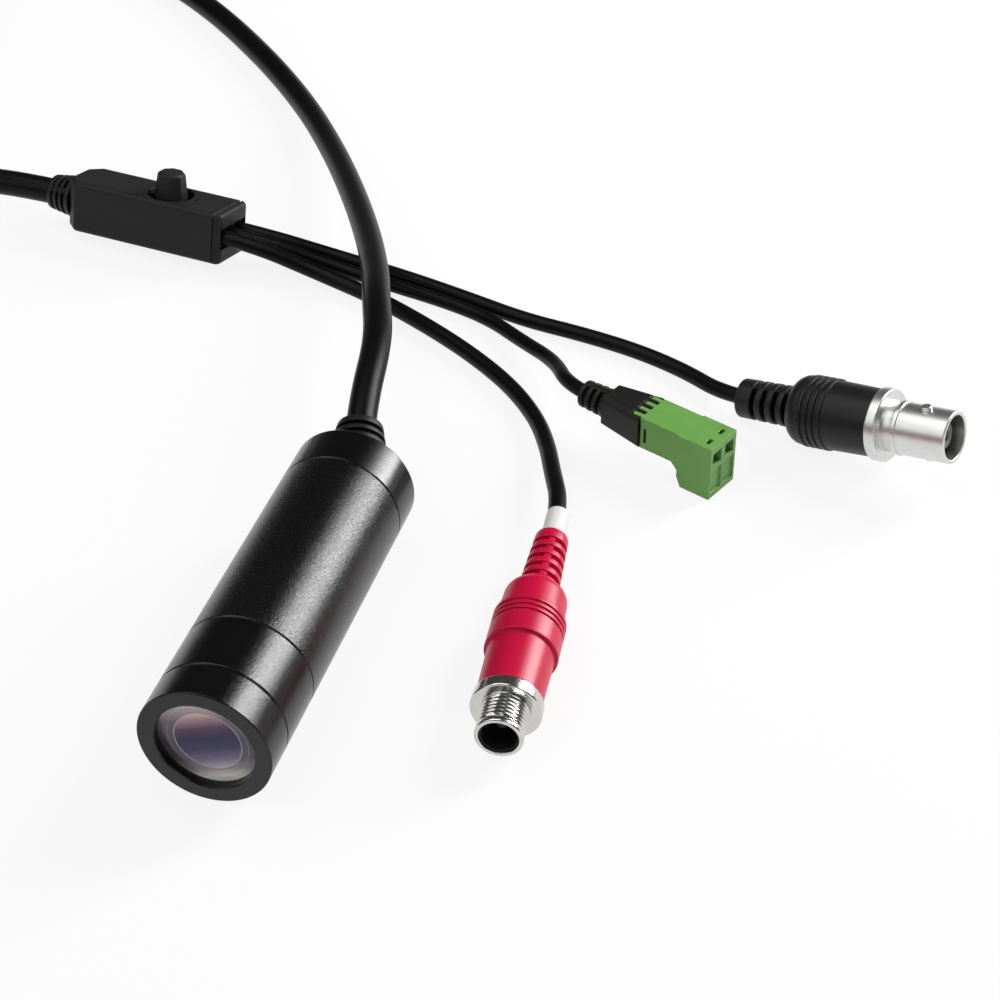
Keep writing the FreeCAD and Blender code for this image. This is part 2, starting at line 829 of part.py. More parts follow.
def make_lens():
    head_r = S.lens_head_d / 2
    thread_r = S.lens_thread_d / 2
    ring_r = S.front_ring_d / 2
    front_r = S.front_element_d / 2
    rear_r = S.rear_element_d / 2
    stop_r = S.stop_d / 2
    ring_back = lens_front + S.front_ring_len
    front_back = ring_back + S.front_element_edge
    rear_front = lens_back - S.rear_element_len
    turned("lens_barrel", [
        (ring_r + S.slip, lens_front), (head_r, lens_front), (head_r, lens_front + S.lens_head_len),
        (thread_r, lens_front + S.lens_head_len), (thread_r, lens_back), (rear_r + S.slip, lens_back),
        (rear_r + S.slip, rear_front), (stop_r, rear_front), (stop_r, front_back),
        (front_r + S.slip, front_back), (front_r + S.slip, ring_back), (ring_r + S.slip, ring_back),
    ], HEAD)
    front_dome_r = dome_radius(front_r, S.front_element_rise)
    turned("lens_front_element", [
        (0, front_back), (front_r, front_back), (front_r, ring_back, 0 - front_dome_r),
        (0, ring_back - S.front_element_rise),
    ], HEAD)
    rear_dome_r = dome_radius(rear_r, S.rear_element_rise)
    turned("lens_rear_element", [
        (0, rear_front), (rear_r, rear_front), (rear_r, lens_back - S.rear_element_rise, rear_dome_r),
        (0, lens_back),
    ], HEAD)
    throat_r = S.front_ring_throat_d / 2
    turned("lens_front_ring", [
        (front_r + S.slip, ring_back), (throat_r, ring_back - S.front_ring_lip),
        (S.front_ring_mouth_d / 2, lens_front), (ring_r, lens_front), (ring_r, ring_back),
    ], HEAD)
    lock_r = S.lock_ring_d / 2
    turned("lens_lock_ring", rectangle(thread_r + S.slip, lock_r, holder_front - S.lock_ring_len, holder_front), HEAD)


def dome_radius(half_width, rise):
    return (half_width * half_width + rise * rise) / (2 * rise)


def make_sensor():
    thread_r = S.lens_thread_d / 2 + S.slip
    cell_r = S.holder_cell_d / 2
    flange_r = S.holder_flange_d / 2
    window_r = S.holder_window_d / 2
    screw_holes = [(side * S.screw_pitch / 2, 0, S.screw_d + 2 * S.slip) for side in (-1, 1)]
    holder = turned("lens_holder", [
        (thread_r, holder_front), (spigot_bore_r - S.slip, holder_front),
        (spigot_bore_r - S.slip, front_spigot_end), (flange_r, front_spigot_end), (flange_r, holder_back),
        (cell_r, holder_back), (cell_r, septum_back), (window_r, septum_back), (window_r, septum_front),
        (thread_r, septum_front),
    ], HEAD)
    pocket(holder, "XZ", screw_holes, front_spigot_end, S.holder_flange_len)
    half = S.filter_side / 2
    block("ir_filter", (-half, half), (septum_back, septum_back + S.filter_len), (-half, half), HEAD)
    wide = S.sensor_w / 2
    tall = S.sensor_height / 2
    block("image_sensor", (-wide, wide), (holder_back - S.sensor_len, holder_back), (-tall, tall), HEAD)
    board = turned("sensor_board", rectangle(0, flange_r, holder_back, board_back), HEAD)
    pocket(board, "XZ", screw_holes, holder_back, S.board_len)
    screw_r = S.screw_d / 2
    head_end = board_back + S.screw_head_len
    screws = []
    for side in (-1, 1):
        place = HEAD * Placement(Vector(side * float(S.screw_pitch) / 2, 0, 0), Rotation())
        screws.append(turned("board_screw", [
            (0, front_spigot_end + S.slip), (screw_r, front_spigot_end + S.slip), (screw_r, board_back),
            (S.screw_head_d / 2, board_back), (S.screw_head_d / 2, head_end), (0, head_end),
        ], place))
    group("board_screws", screws)


def make_main_board():
    half = S.main_board_w / 2
    top = main_board_top
    front = board_back + S.seal_groove_len
    block("main_board", (-half, half), (front, main_board_end), (top - S.board_len, top), HEAD)
    wide = S.connector_w / 2
    connector_end = board_back + S.connector_len
    block("board_connector", (-wide, wide), (board_back, connector_end), (top, top + S.connector_height), HEAD)
    chip = S.chip_side / 2
    chip_from = board_back + S.chip_inset
    chip_to = chip_from + S.chip_side
    block("processor_chip", (-chip, chip), (chip_from, chip_to), (top, top + S.chip_height), HEAD)
    parts = []
    for side in (-1, 1):
        middle = side * S.coil_part_side
        limits = (middle - S.coil_part_side / 2, middle + S.coil_part_side / 2)
        along = (chip_to + 1, chip_to + 1 + S.coil_part_side)
        parts.append(block("board_part", limits, along, (top, top + S.coil_part_height), HEAD))
    group("board_parts", parts)
    wide = S.header_w / 2
    header_to = rear_spigot_front - S.slip
    limits = (header_to - S.header_len, header_to)
    block("cable_header", (-wide, wide), limits, (top, top + S.header_height), HEAD)


def make_rear_boot():
    """Moulded boot: a snap-in root and a ribbed tail that flexes with the cable."""
    body = new_body("rear_boot")
    hole_r = S.boot_hole_d / 2 - S.slip
    snap_r = S.boot_snap_d / 2
    floor = barrel_len - S.rear_wall
    flange_end = barrel_len + S.boot_flange_len
    flange_r = S.boot_flange_d / 2
    dome_r = 0 - dome_radius(flange_r, S.boot_dome_rise)
    turn(body, [[
        (0, floor - S.boot_snap_len), (0, flange_end + S.boot_dome_rise, dome_r), (flange_r, flange_end),
        (flange_r, barrel_len), (hole_r, barrel_len), (hole_r, floor), (snap_r, floor),
        (snap_r, floor - S.boot_snap_len),
    ]])
    offset = Placement(Vector(0, float(barrel_len), 0), Rotation(Vector(0, 1, 0), BOOT_FLEX))
    tip_r = S.boot_tip_d / 2
    socket_r = cable_r + S.slip
    turn(body, [[
        (0, S.boot_tail_root), (S.boot_tail_d / 2, S.boot_tail_root), (tip_r, S.boot_tail_len),
        (socket_r, S.boot_tail_len), (socket_r, S.boot_socket), (0, S.boot_socket),
    ]], offset=offset)
    first = S.boot_tail_len - S.boot_slot_pitch * 4
    stations = [first + S.boot_slot_pitch * index for index in range(4)]
    slot_rings(body, stations, S.boot_slot_w, socket_r + S.boot_slot_w / 2, S.boot_tail_d, 16, offset)
    keep(body, "rear_boot", HEAD)


def boot_point(distance):
    """A point on the axis of the flexed boot tail, from its root."""
    root = HEAD.multVec(Vector(0, float(barrel_len), 0))
    return root + Vector(BOOT_FLEX).normalize() * float(distance)


# the control box lies on its back lower edge, leaning away from the front
box_half = S.box_w / 2
box_split = S.box_height / 2
box_tilt = math.radians(BOX_LEAN)
box_edge = float(box_half - S.box_round)
box_lift = box_edge * math.sin(box_tilt) + float(S.box_round) * (1 - math.cos(box_tilt))
BOX = aim(BOX_LEFT_END + UP * box_lift, heading(BOX_HEADING), -BOX_LEAN)
switch_floor_z = S.box_wall + S.post_height + S.control_board_t
pivot_z = switch_floor_z + S.gimbal_rise + S.gimbal_len / 2


def box_outline(inset):
    """Plan of the box: cut corners at the cable end, small ones at the lead end."""
    half = box_half - inset
    nose = S.box_nose - inset / 2
    corner = S.box_corner
    end = S.box_len - inset
    return [
        (half, inset + nose), (half, end - corner), (half - corner, end), (corner - half, end),
        (-half, end - corner), (-half, inset + nose), (nose - half, inset), (half - nose, inset),
    ]


def box_cuts(body):
    """Openings that both halves of the box share."""
    through = S.box_wall * 2
    pocket(body, "XZ", [(0, box_split, S.relief_neck_d + 2 * S.slip)], -S.box_wall / 2, through)
    wide = S.grommet_w / 2 + S.slip
    tall = S.grommet_height / 2 + S.slip
    window = rectangle(-wide, wide, S.lead_height - tall, S.lead_height + tall)
    window_back = S.box_len - S.grommet_inset - S.grommet_len - S.slip
    pocket(body, "XZ", [window], window_back, S.grommet_len + through)
    around = box_half + S.band_w
    inner = box_half - S.band_depth
    outer_frame = rectangle(-around, around, -S.box_wall * 2, S.box_height + S.band_w)
    inner_frame = rectangle(-inner, inner, -S.box_wall, S.box_height - S.band_depth)
    pocket(body, "XZ", [outer_frame, inner_frame], S.box_len - S.band_inset, S.band_w)


def outer_edges(level):
    """Picks the outside edges that stand upright, and those at a level."""
    def chosen(edge):
        ends = [vertex.Point for vertex in edge.Vertexes]
        upright = all(abs(p.x - ends[0].x) + abs(p.y - ends[0].y) < 1e-6 for p in ends)
        at_level = all(abs(p.z - float(level)) < 1e-6 for p in ends)
        return upright or at_level
    return chosen


def make_box():
    base = new_body("control_box_base")
    pad(base, "XY", [box_outline(0)], 0, box_split)
    soften(base, "Fillet", S.box_round, outer_edges(0))
    pocket(base, "XY", [box_outline(S.box_wall)], S.box_wall, box_split)
    inner = box_half - S.box_wall
    for along in (S.control_board_from + 2, S.control_board_to - 4):
        pad(base, "XY", [rectangle(-inner, inner, along, along + 2)], S.box_wall, S.post_height)
    box_cuts(base)
    keep(base, "control_box_base", BOX)
    cover = new_body("control_box_cover")
    pad(cover, "XY", [box_outline(0)], box_split, S.box_height - box_split)
    soften(cover, "Fillet", S.box_round, outer_edges(S.box_height))
    pocket(cover, "XY", [box_outline(S.box_wall)], box_split, S.box_height - box_split - S.box_wall)
    holes = [(0, S.knob_at, S.knob_hole_d), (0, S.pin_hole_at, S.pin_hole_d)]
    pocket(cover, "XY", holes, box_split, S.box_height)
    box_cuts(cover)
    keep(cover, "control_box_cover", BOX)


def make_box_relief():
    body = new_body("box_strain_relief")
    neck_r = S.relief_neck_d / 2
    snap_end = S.relief_seat + S.relief_snap_len
    socket_r = cable_r + S.slip
    tip = 0 - S.relief_len
    turn(body, [[
        (0, snap_end), (S.relief_snap_d / 2, snap_end), (S.relief_snap_d / 2, S.relief_seat),
        (neck_r, S.relief_seat), (neck_r, 0), (S.relief_d / 2, 0), (S.relief_tip_d / 2, tip),
        (socket_r, tip), (socket_r, S.box_wall), (0, S.box_wall),
    ]])
    pitch = S.relief_len / 4
    stations = [tip + pitch * (index + 1) for index in range(3)]
    slot_rings(body, stations, S.relief_slot_w, socket_r + S.relief_slot_w / 2, S.relief_d, 30)
    keep(body, "box_strain_relief", BOX * Placement(Vector(0, 0, float(box_split)), Rotation()))


def make_grommet():
    body = new_body("lead_grommet")
    wide = S.grommet_w / 2
    tall = S.grommet_height / 2
    outline = rectangle(-wide, wide, S.lead_height - tall, S.lead_height + tall)
    back = S.box_len - S.grommet_inset - S.grommet_len
    pad(body, "XZ", [outline], back, S.grommet_len)
    room = 2 * S.slip
    holes = [
        (S.lead_pitch, S.lead_height, S.power_cable_d + room),
        (0, S.lead_height, S.data_cable_d + room),
        (-S.lead_pitch, S.lead_height, S.video_cable_d + room),
    ]
    pocket(body, "XZ", holes, back, S.grommet_len)
    keep(body, "lead_grommet", BOX)


def make_joystick():
    floor = S.box_wall + S.post_height
    half = S.control_board_w / 2
    along = (S.control_board_from, S.control_board_to)
    block("control_board", (-half, half), along, (floor, switch_floor_z), BOX)
    switch = new_body("joystick_switch")
    side = S.switch_side / 2
    square = rectangle(-side, side, S.knob_at - side, S.knob_at + side)
    pad(switch, "XY", [square], switch_floor_z, S.switch_height)
    well = switch_floor_z + S.switch_floor
    pocket(switch, "XY", [(0, S.knob_at, S.switch_well_d)], well, S.switch_height)
    pocket(switch, "YZ", [(S.knob_at, pivot_z, S.gimbal_pin_d + 2 * S.slip)], -side, S.switch_side)
    keep(switch, "joystick_switch", BOX)
    axis = BOX * Placement(Vector(0, float(S.knob_at), 0), STAND_UP)
    low = switch_floor_z + S.gimbal_rise
    gimbal = new_body("joystick_gimbal")
    turn(gimbal, [rectangle(S.gimbal_bore_d / 2, S.gimbal_d / 2, low, low + S.gimbal_len)])
    # its pins turn in the switch's walls, and the stem's pins turn in its own
    pin_root = (S.gimbal_bore_d + S.gimbal_d) / 4
    pin_tip = (S.switch_well_d + S.switch_side) / 4
    for start in (pin_root, -pin_tip):
        pad(gimbal, "YZ", [(pivot_z, 0, S.gimbal_pin_d)], start, pin_tip - pin_root)
    pocket(gimbal, "XY", [(0, pivot_z, S.stem_pin_d + 2 * S.slip)], -S.gimbal_d / 2, S.gimbal_d)
    keep(gimbal, "joystick_gimbal", axis)
    stem_low = well + S.switch_floor
    shoulder = switch_floor_z + S.switch_height + S.switch_floor
    stem_top = stem_low + S.stem_len
    stem = new_body("joystick_stem")
    turn(stem, [[
        (0, stem_low), (S.stem_d / 2, stem_low), (S.stem_d / 2, shoulder), (S.stem_head_d / 2, shoulder),
        (S.stem_head_d / 2, stem_top), (0, stem_top),
    ]])
    stem_reach = S.gimbal_d / 2 - 2 * S.slip
    pad(stem, "XY", [(0, pivot_z, S.stem_pin_d)], -stem_reach, 2 * stem_reach)
    keep(stem, "joystick_stem", axis)
    knob = new_body("joystick_knob")
    knob_low = S.box_height - S.knob_sink
    lower = new_sketch(knob, "XY", knob_low)
    draw(lower, octagon(S.knob_base, S.knob_at))
    upper = new_sketch(knob, "XY", knob_low + S.knob_height - S.knob_round)
    draw(upper, octagon(S.knob_top, S.knob_at))
    crown = new_sketch(knob, "XY", knob_low + S.knob_height)
    draw(crown, octagon(S.knob_top - 2 * S.knob_round, S.knob_at))
    loft = knob.newObject("PartDesign::AdditiveLoft", "knob_loft")
    loft.Profile = lower
    loft.Sections = [upper, crown]
    loft.Ruled = True
    socket_top = stem_top + S.press_travel + S.press_room
    socket = (0, S.knob_at, S.stem_head_d + 2 * S.knob_gap)
    pocket(knob, "XY", [socket], knob_low - S.slip, socket_top - knob_low + S.slip)
    keep(knob, "joystick_knob", BOX)


def octagon(across, y_centre):
    """Corners of a regular octagon with flats to the front and sides."""
    half = across / 2
    part = half * math.tan(math.radians(22.5))
    return [
        (half, y_centre - part), (half, y_centre + part), (part, y_centre + half), (-part, y_centre + half),
        (-half, y_centre + part), (-half, y_centre - part), (-part, y_centre - half), (part, y_centre - half),
    ]


# the video boot rests on its ridge and the jack's flange
video_shoulder = S.video_relief_len + S.video_shoulder_len
video_ridge_end = video_shoulder + S.video_ridge_len
video_boot_end = video_ridge_end + S.video_body_len
video_flange_end = video_boot_end + S.video_flange_len
video_neck_end = video_flange_end + S.video_neck_len
video_mouth = video_neck_end + S.video_barrel_len
video_stub_front = video_boot_end - S.video_stub_len
video_rise = float(S.video_ridge_d - S.video_tip_d) / 2 / float(video_shoulder)
video_tip_height = float(S.video_tip_d) / 2 / math.hypot(1, video_rise)
VIDEO = aim(VIDEO_TAIL + UP * video_tip_height, heading(VIDEO_HEADING) + UP * video_rise)


def make_video():
    boot = new_body("video_boot")
    socket_r = S.video_cable_d / 2 + S.slip
    stub_r = S.video_stub_d / 2
    ridge = grooved(S.video_ridge_d / 2, video_shoulder, video_ridge_end, 3,
                    S.video_groove_w, S.video_groove_depth)
    turn(boot, [[
        (socket_r, 0), (S.video_tip_d / 2, 0), (S.video_relief_d / 2, S.video_relief_len, S.video_shoulder_round),
        (S.video_shoulder_d / 2, video_shoulder), *ridge,
        (S.video_body_d / 2, video_ridge_end), (S.video_body_end_d / 2, video_boot_end),
        (stub_r + S.slip, video_boot_end), (stub_r + S.slip, video_stub_front), (socket_r, video_stub_front),
    ]])
    last_slot = S.video_relief_len - 2 * S.slip - S.video_slot_w / 2
    stations = [last_slot - S.video_slot_pitch * index for index in range(4)]
    slot_rings(boot, stations, S.video_slot_w, socket_r + S.video_slot_w / 2, S.video_relief_d, 24)
    keep(boot, "video_boot", VIDEO)
    shell = new_body("video_shell")
    core_r = S.video_core_d / 2 + S.slip
    barrel = S.video_barrel_d / 2
    bore_r = S.video_bore_d / 2
    bore_end = video_mouth - S.video_bore_len
    band_end = video_neck_end + S.video_band_len
    turn(shell, [[
        (core_r, video_stub_front), (stub_r, video_stub_front), (stub_r, video_boot_end),
        (S.video_flange_d / 2, video_boot_end), (S.video_flange_d / 2, video_flange_end),
        (S.video_neck_d / 2, video_flange_end), (S.video_neck_d / 2, video_neck_end),
        (S.video_band_d / 2, video_neck_end), (S.video_band_d / 2, band_end), (barrel, band_end),
        (barrel, video_mouth), (bore_r, video_mouth), (bore_r, bore_end), (core_r, bore_end),
    ]])
    lug_at = video_mouth - S.video_lug_inset
    wall_middle = (barrel + bore_r) / 2
    lug_rise = S.video_lug_span / 2 - wall_middle
    for start in (wall_middle, -S.video_lug_span / 2):
        pad(shell, "XY", [(0, lug_at, S.video_lug_d)], start, lug_rise)
    keep(shell, "video_shell", VIDEO)
    disc_end = bore_end + S.video_disc_len
    contact_r = S.video_contact_d / 2
    sleeve_r = S.video_sleeve_d / 2
    sleeve_end = video_mouth - S.video_sleeve_inset
    turned("video_insulator", [
        (contact_r + S.slip, video_stub_front), (core_r - S.slip, video_stub_front), (core_r - S.slip, bore_end),
        (bore_r - S.slip, bore_end), (bore_r - S.slip, disc_end), (sleeve_r, disc_end), (sleeve_r, sleeve_end),
        (contact_r + S.slip, sleeve_end),
    ], VIDEO)
    socket = S.video_socket_d / 2
    contact_end = sleeve_end - S.rim_bevel
    turned("video_contact", [
        (0, video_stub_front), (contact_r, video_stub_front), (contact_r, contact_end), (socket, contact_end),
        (socket, contact_end - S.video_socket_len), (0, contact_end - S.video_socket_len),
    ], VIDEO)


# the power boot rests on its ridges and the jack's flange
power_shoulder = S.power_relief_len + S.power_shoulder_len
power_ridge = power_shoulder + S.power_neck_len
power_ridge_end = power_ridge + S.power_ridge_len
power_boot_end = power_ridge_end + S.power_body_len
power_flange_end = power_boot_end + S.power_flange_len
power_mouth = power_flange_end + S.power_thread_len
power_stub_front = power_boot_end - S.power_stub_len
power_span = float(power_flange_end - power_ridge_end)
power_drop = float(S.power_ridge_d - S.power_flange_d) / 2
power_pitch = power_drop / power_span
POWER = aim(POWER_TAIL + UP * (float(S.power_ridge_d) / 2 + float(power_ridge_end) * power_pitch),
            heading(POWER_HEADING) - UP * power_pitch)


def make_power():
    boot = new_body("power_boot")
    socket_r = S.power_cable_d / 2 + S.slip
    stub_r = S.power_stub_d / 2
    ridge_r = S.power_ridge_d / 2
    grip = grooved(ridge_r, power_ridge, power_ridge + S.power_grip_len, 3, S.power_groove_w, S.power_groove_depth)
    ridge = [*grip[:-1], (ridge_r, power_ridge_end)]
    turn(boot, [[
        (socket_r, 0), (S.power_tip_d / 2, 0), (S.power_relief_d / 2, S.power_relief_len, S.power_shoulder_round),
        (S.power_neck_d / 2, power_shoulder), (S.power_body_d / 2, power_ridge), *ridge,
        (S.power_body_d / 2, power_ridge_end), (S.power_body_end_d / 2, power_boot_end),
        (stub_r + S.slip, power_boot_end), (stub_r + S.slip, power_stub_front), (socket_r, power_stub_front),
    ]])
    stations = [S.power_relief_len - S.power_slot_pitch * (index + 0.7) for index in range(5)]
    slot_rings(boot, stations, S.power_slot_w, socket_r + S.power_slot_w / 2, S.power_relief_d, 24)
    keep(boot, "power_boot", POWER)
    core_r = S.power_core_d / 2 + S.slip
    thread_r = S.power_thread_d / 2
    bore_r = S.power_bore_d / 2
    bore_end = power_mouth - S.power_bore_len
    turned("power_shell", [
        (core_r, power_stub_front), (stub_r, power_stub_front), (stub_r, power_boot_end),
        (S.power_flange_d / 2, power_boot_end), (S.power_flange_d / 2, power_flange_end),
        (thread_r, power_flange_end), (thread_r, power_mouth - S.power_mouth_bevel),
        (thread_r - S.power_mouth_bevel, power_mouth), (bore_r, power_mouth), (bore_r, bore_end),
        (core_r, bore_end),
    ], POWER)
    pin_r = S.power_pin_d / 2
    disc_end = bore_end + S.power_disc_len
    liner_r = bore_r - S.slip
    liner_end = power_mouth - S.power_liner_inset
    turned("power_insulator", [
        (pin_r + S.slip, power_stub_front), (core_r - S.slip, power_stub_front), (core_r - S.slip, bore_end),
        (liner_r, bore_end), (liner_r, liner_end), (liner_r - S.power_liner_wall, liner_end),
        (liner_r - S.power_liner_wall, disc_end), (pin_r + S.slip, disc_end),
    ], POWER)
    pin_end = power_mouth - S.power_pin_inset
    turned("power_pin", [
        (0, power_stub_front), (pin_r, power_stub_front), (pin_r, pin_end - pin_r / 2), (pin_r / 2, pin_end),
        (0, pin_end),
    ], POWER)
    half = S.power_spring_w / 2
    top = bore_r - S.power_spring_t * 2
    along = (disc_end, disc_end + S.power_spring_len)
    block("power_spring", (-half, half), along, (top - S.power_spring_t, top), POWER)
    sleeve_far = 0 - S.sleeve_gap - S.sleeve_len
    outline = rectangle(S.sleeve_bore_d / 2, S.sleeve_d / 2, sleeve_far, 0 - S.sleeve_gap)
    turned("label_sleeve", outline, POWER)


# the data plug lies screw side down, on the foot of its wire block
data_wedge_end = S.data_relief_len + S.data_wedge_len
comb_end = data_wedge_end + S.data_comb_len
plug_nose_end = comb_end + S.plug_nose_len
plug_end = plug_nose_end + S.plug_block_len
plug_nose_floor = S.plug_height - S.plug_nose_height
chamber_back = plug_end - S.chamber_inset
chamber_front = chamber_back - S.chamber_len
clamp_at = (chamber_back + chamber_front) / 2
socket_floor = S.data_axis_height - S.socket_drop
pole_offsets = (-S.pole_pitch / 2, S.pole_pitch / 2)
DATA = aim(DATA_TAIL, heading(DATA_HEADING))


def make_data_boot():
    """Black wedge boot with a ribbed tail and beds for the plug's fingers."""
    body = new_body("data_boot")
    axis = S.data_axis_height
    half = S.data_wedge_from / 2
    lower = new_sketch(body, "XZ", S.data_relief_len)
    draw(lower, cut_rectangle(half, half, axis))
    upper = new_sketch(body, "XZ", comb_end - S.data_comb_gap)
    wide = S.data_wedge_w / 2
    tall = S.data_wedge_height / 2
    draw(upper, cut_rectangle(wide, tall, axis))
    loft = body.newObject("PartDesign::AdditiveLoft", "wedge_loft")
    loft.Profile = lower
    loft.Sections = [upper]
    loft.Ruled = True
    offset = Placement(Vector(0, 0, float(axis)), Rotation())
    socket_r = S.data_cable_d / 2 + S.slip
    turn(body, [[
        (0, S.data_relief_len), (S.data_relief_d / 2, S.data_relief_len), (S.data_tip_d / 2, 0), (0, 0),
    ]], offset=offset)
    stations = [S.data_slot_pitch * (index + 1) - S.data_slot_w / 2 for index in range(3)]
    slot_rings(body, stations, S.data_slot_w, socket_r + S.data_slot_w / 2, S.data_relief_d, 30, offset)
    pocket(body, "XZ", [(0, axis, S.data_cable_d + 2 * S.slip)], 0, S.data_relief_len)
    bed_low = S.plug_height - S.data_comb_height - S.data_comb_gap
    bed = S.finger_w / 2 + S.data_comb_gap
    beds = [rectangle(x - bed, x + bed, bed_low, axis + S.data_wedge_height) for x in finger_places()]
    pocket(body, "XZ", beds, data_wedge_end, S.data_comb_len)
    pocket(body, "XZ", pin_squares(), data_wedge_end - S.pin_root, S.pin_root + S.data_comb_len)
    keep(body, "data_boot", DATA)


def cut_rectangle(wide, tall, axis):
    """Corners of a rectangle about the axis height, with its own corners cut off."""
    cut = S.box_corner
    return [
        (cut - wide, axis - tall), (wide - cut, axis - tall), (wide, axis - tall + cut), (wide, axis + tall - cut),
        (wide - cut, axis + tall), (cut - wide, axis + tall), (-wide, axis + tall - cut), (-wide, axis - tall + cut),
    ]


def finger_places():
    return [S.finger_pitch * (index - 1.5) for index in range(4)]


def pin_squares():
    half = S.pin_side / 2
    axis = S.data_axis_height
    return [rectangle(x - half, x + half, axis - half, axis + half) for x in pole_offsets]


def make_data_pins():
    half = S.pin_side / 2
    axis = S.data_axis_height
    along = (data_wedge_end - S.pin_root, data_wedge_end + S.pin_reach)
    pins = [block("data_pin", (x - half, x + half), along, (axis - half, axis + half), DATA) for x in pole_offsets]
    group("data_pins", pins)


def make_data_plug():
    body = new_body("data_plug")
    half = S.plug_w / 2
    top = S.plug_height
    nose = S.plug_nose_w / 2
    step = S.plug_step
    pad(body, "YZ", [[
        (plug_nose_end + S.plug_heel, 0), (plug_end, 0), (plug_end, top), (plug_nose_end, top),
        (plug_nose_end, S.plug_heel_height),
    ]], -half, S.plug_w)
    pad(body, "YZ", [[
        (comb_end, plug_nose_floor), (plug_nose_end - step, plug_nose_floor), (plug_nose_end, plug_nose_floor - step),
        (plug_nose_end + step, plug_nose_floor - step), (plug_nose_end + step, top), (comb_end, top),
    ]], -nose, S.plug_nose_w)
    finger = S.finger_w / 2
    fingers = [rectangle(x - finger, x + finger, top - S.data_comb_height, top) for x in finger_places()]
    pad(body, "XZ", fingers, data_wedge_end + S.data_comb_gap, S.data_comb_len + step)
    wide = S.socket_w / 2
    sockets = [rectangle(x - wide, x + wide, socket_floor, socket_floor + S.socket_height) for x in pole_offsets]
    pocket(body, "XZ", sockets, comb_end - S.slip, chamber_front - comb_end + S.slip * 2)
    room = S.chamber_w / 2
    chambers = [rectangle(x - room, x + room, chamber_front, chamber_back) for x in pole_offsets]
    head_top = S.clamp_head_inset + S.clamp_head_len + S.slip
    pocket(body, "XY", chambers, head_top, top - S.chamber_top - head_top)
    heads = [(x, clamp_at, S.clamp_head_d + 4 * S.slip) for x in pole_offsets]
    pocket(body, "XY", heads, S.clamp_head_inset - S.slip, S.clamp_head_len + 4 * S.slip)
    drivers = [(x, clamp_at, S.clamp_driver_d) for x in pole_offsets]
    pocket(body, "XY", drivers, -S.slip, S.clamp_head_inset + S.slip * 2)
    wire = S.wire_hole / 2
    low = S.wire_hole_height - wire
    wires = [rectangle(x - wire, x + wire, low, low + S.wire_hole) for x in pole_offsets]
    pocket(body, "XZ", wires, chamber_back - S.slip, S.chamber_inset + S.slip * 2)
    panel = S.panel_w / 2
    panels = [rectangle(x - panel, x + panel, S.panel_from, S.panel_from + S.panel_height) for x in pole_offsets]
    pocket(body, "XZ", panels, plug_end - S.panel_depth, S.panel_depth + S.slip)
    vent = S.vent_w / 2
    vent_to = plug_end - S.vent_inset
    vents = [rectangle(x - vent, x + vent, vent_to - S.vent_len, vent_to) for x in pole_offsets]
    pocket(body, "XY", vents, top - S.vent_depth, S.vent_depth + S.slip)
    slot_at = comb_end + S.plug_nose_inset + S.side_slot_w
    slot_low = plug_nose_floor + S.plug_step
    slot = rectangle(slot_at, slot_at + S.side_slot_w, slot_low, slot_low + S.side_slot_height)
    for start in (nose - S.side_slot_depth, -nose - S.slip):
        pocket(body, "YZ", [slot], start, S.side_slot_depth + S.slip)
    keep(body, "data_plug", DATA)


def make_clamps():
    """Rising-cage wire clamps: a contact bar, a cage round it and the screw that draws the cage."""
    half = S.contact_w / 2
    low = socket_floor + S.slip
    along = (comb_end + S.plug_step, plug_end - S.contact_end)
    bars = [block("plug_contact", (x - half, x + half), along, (low, low + S.contact_t), DATA) for x in pole_offsets]
    group("plug_contacts", bars)
    for side, x in zip(("left", "right"), pole_offsets):
        make_cage(f"clamp_cage_{side}", x)
        make_clamp_screw(f"clamp_screw_{side}", x)


def make_cage(name, x):
    body = new_body(name)
    outer = S.chamber_w / 2 - S.cage_gap
    inner = outer - S.cage_wall
    low = S.cage_from
    high = low + S.cage_height
    floor = low + S.cage_wall * 2
    frame = rectangle(x - outer, x + outer, low, high)
    window = rectangle(x - inner, x + inner, floor, high - S.cage_wall)
    front = chamber_front + S.cage_gap
    pad(body, "XZ", [frame, window], front, S.chamber_len - 2 * S.cage_gap)
    pocket(body, "XY", [(x, clamp_at, S.clamp_shank_d + 2 * S.slip)], low - S.slip, S.cage_wall * 2 + 2 * S.slip)
    keep(body, name, DATA)


def make_clamp_screw(name, x):
    body = new_body(name)
    head_r = S.clamp_head_d / 2
    shank_r = S.clamp_shank_d / 2
    head_low = S.clamp_head_inset
    head_high = head_low + S.clamp_head_len
    turn(body, [[
        (0, head_low), (head_r, head_low), (head_r, head_high), (shank_r, head_high),
        (shank_r, S.clamp_shank_to), (0, S.clamp_shank_to),
    ]])
    slot = S.clamp_slot_w / 2
    pocket(body, "YZ", [rectangle(head_low - S.slip, head_low + S.clamp_slot_depth, -slot, slot)],
           -S.clamp_head_d, S.clamp_head_d * 2)
    keep(body, name, DATA * Placement(Vector(float(x), float(clamp_at), 0), STAND_UP))


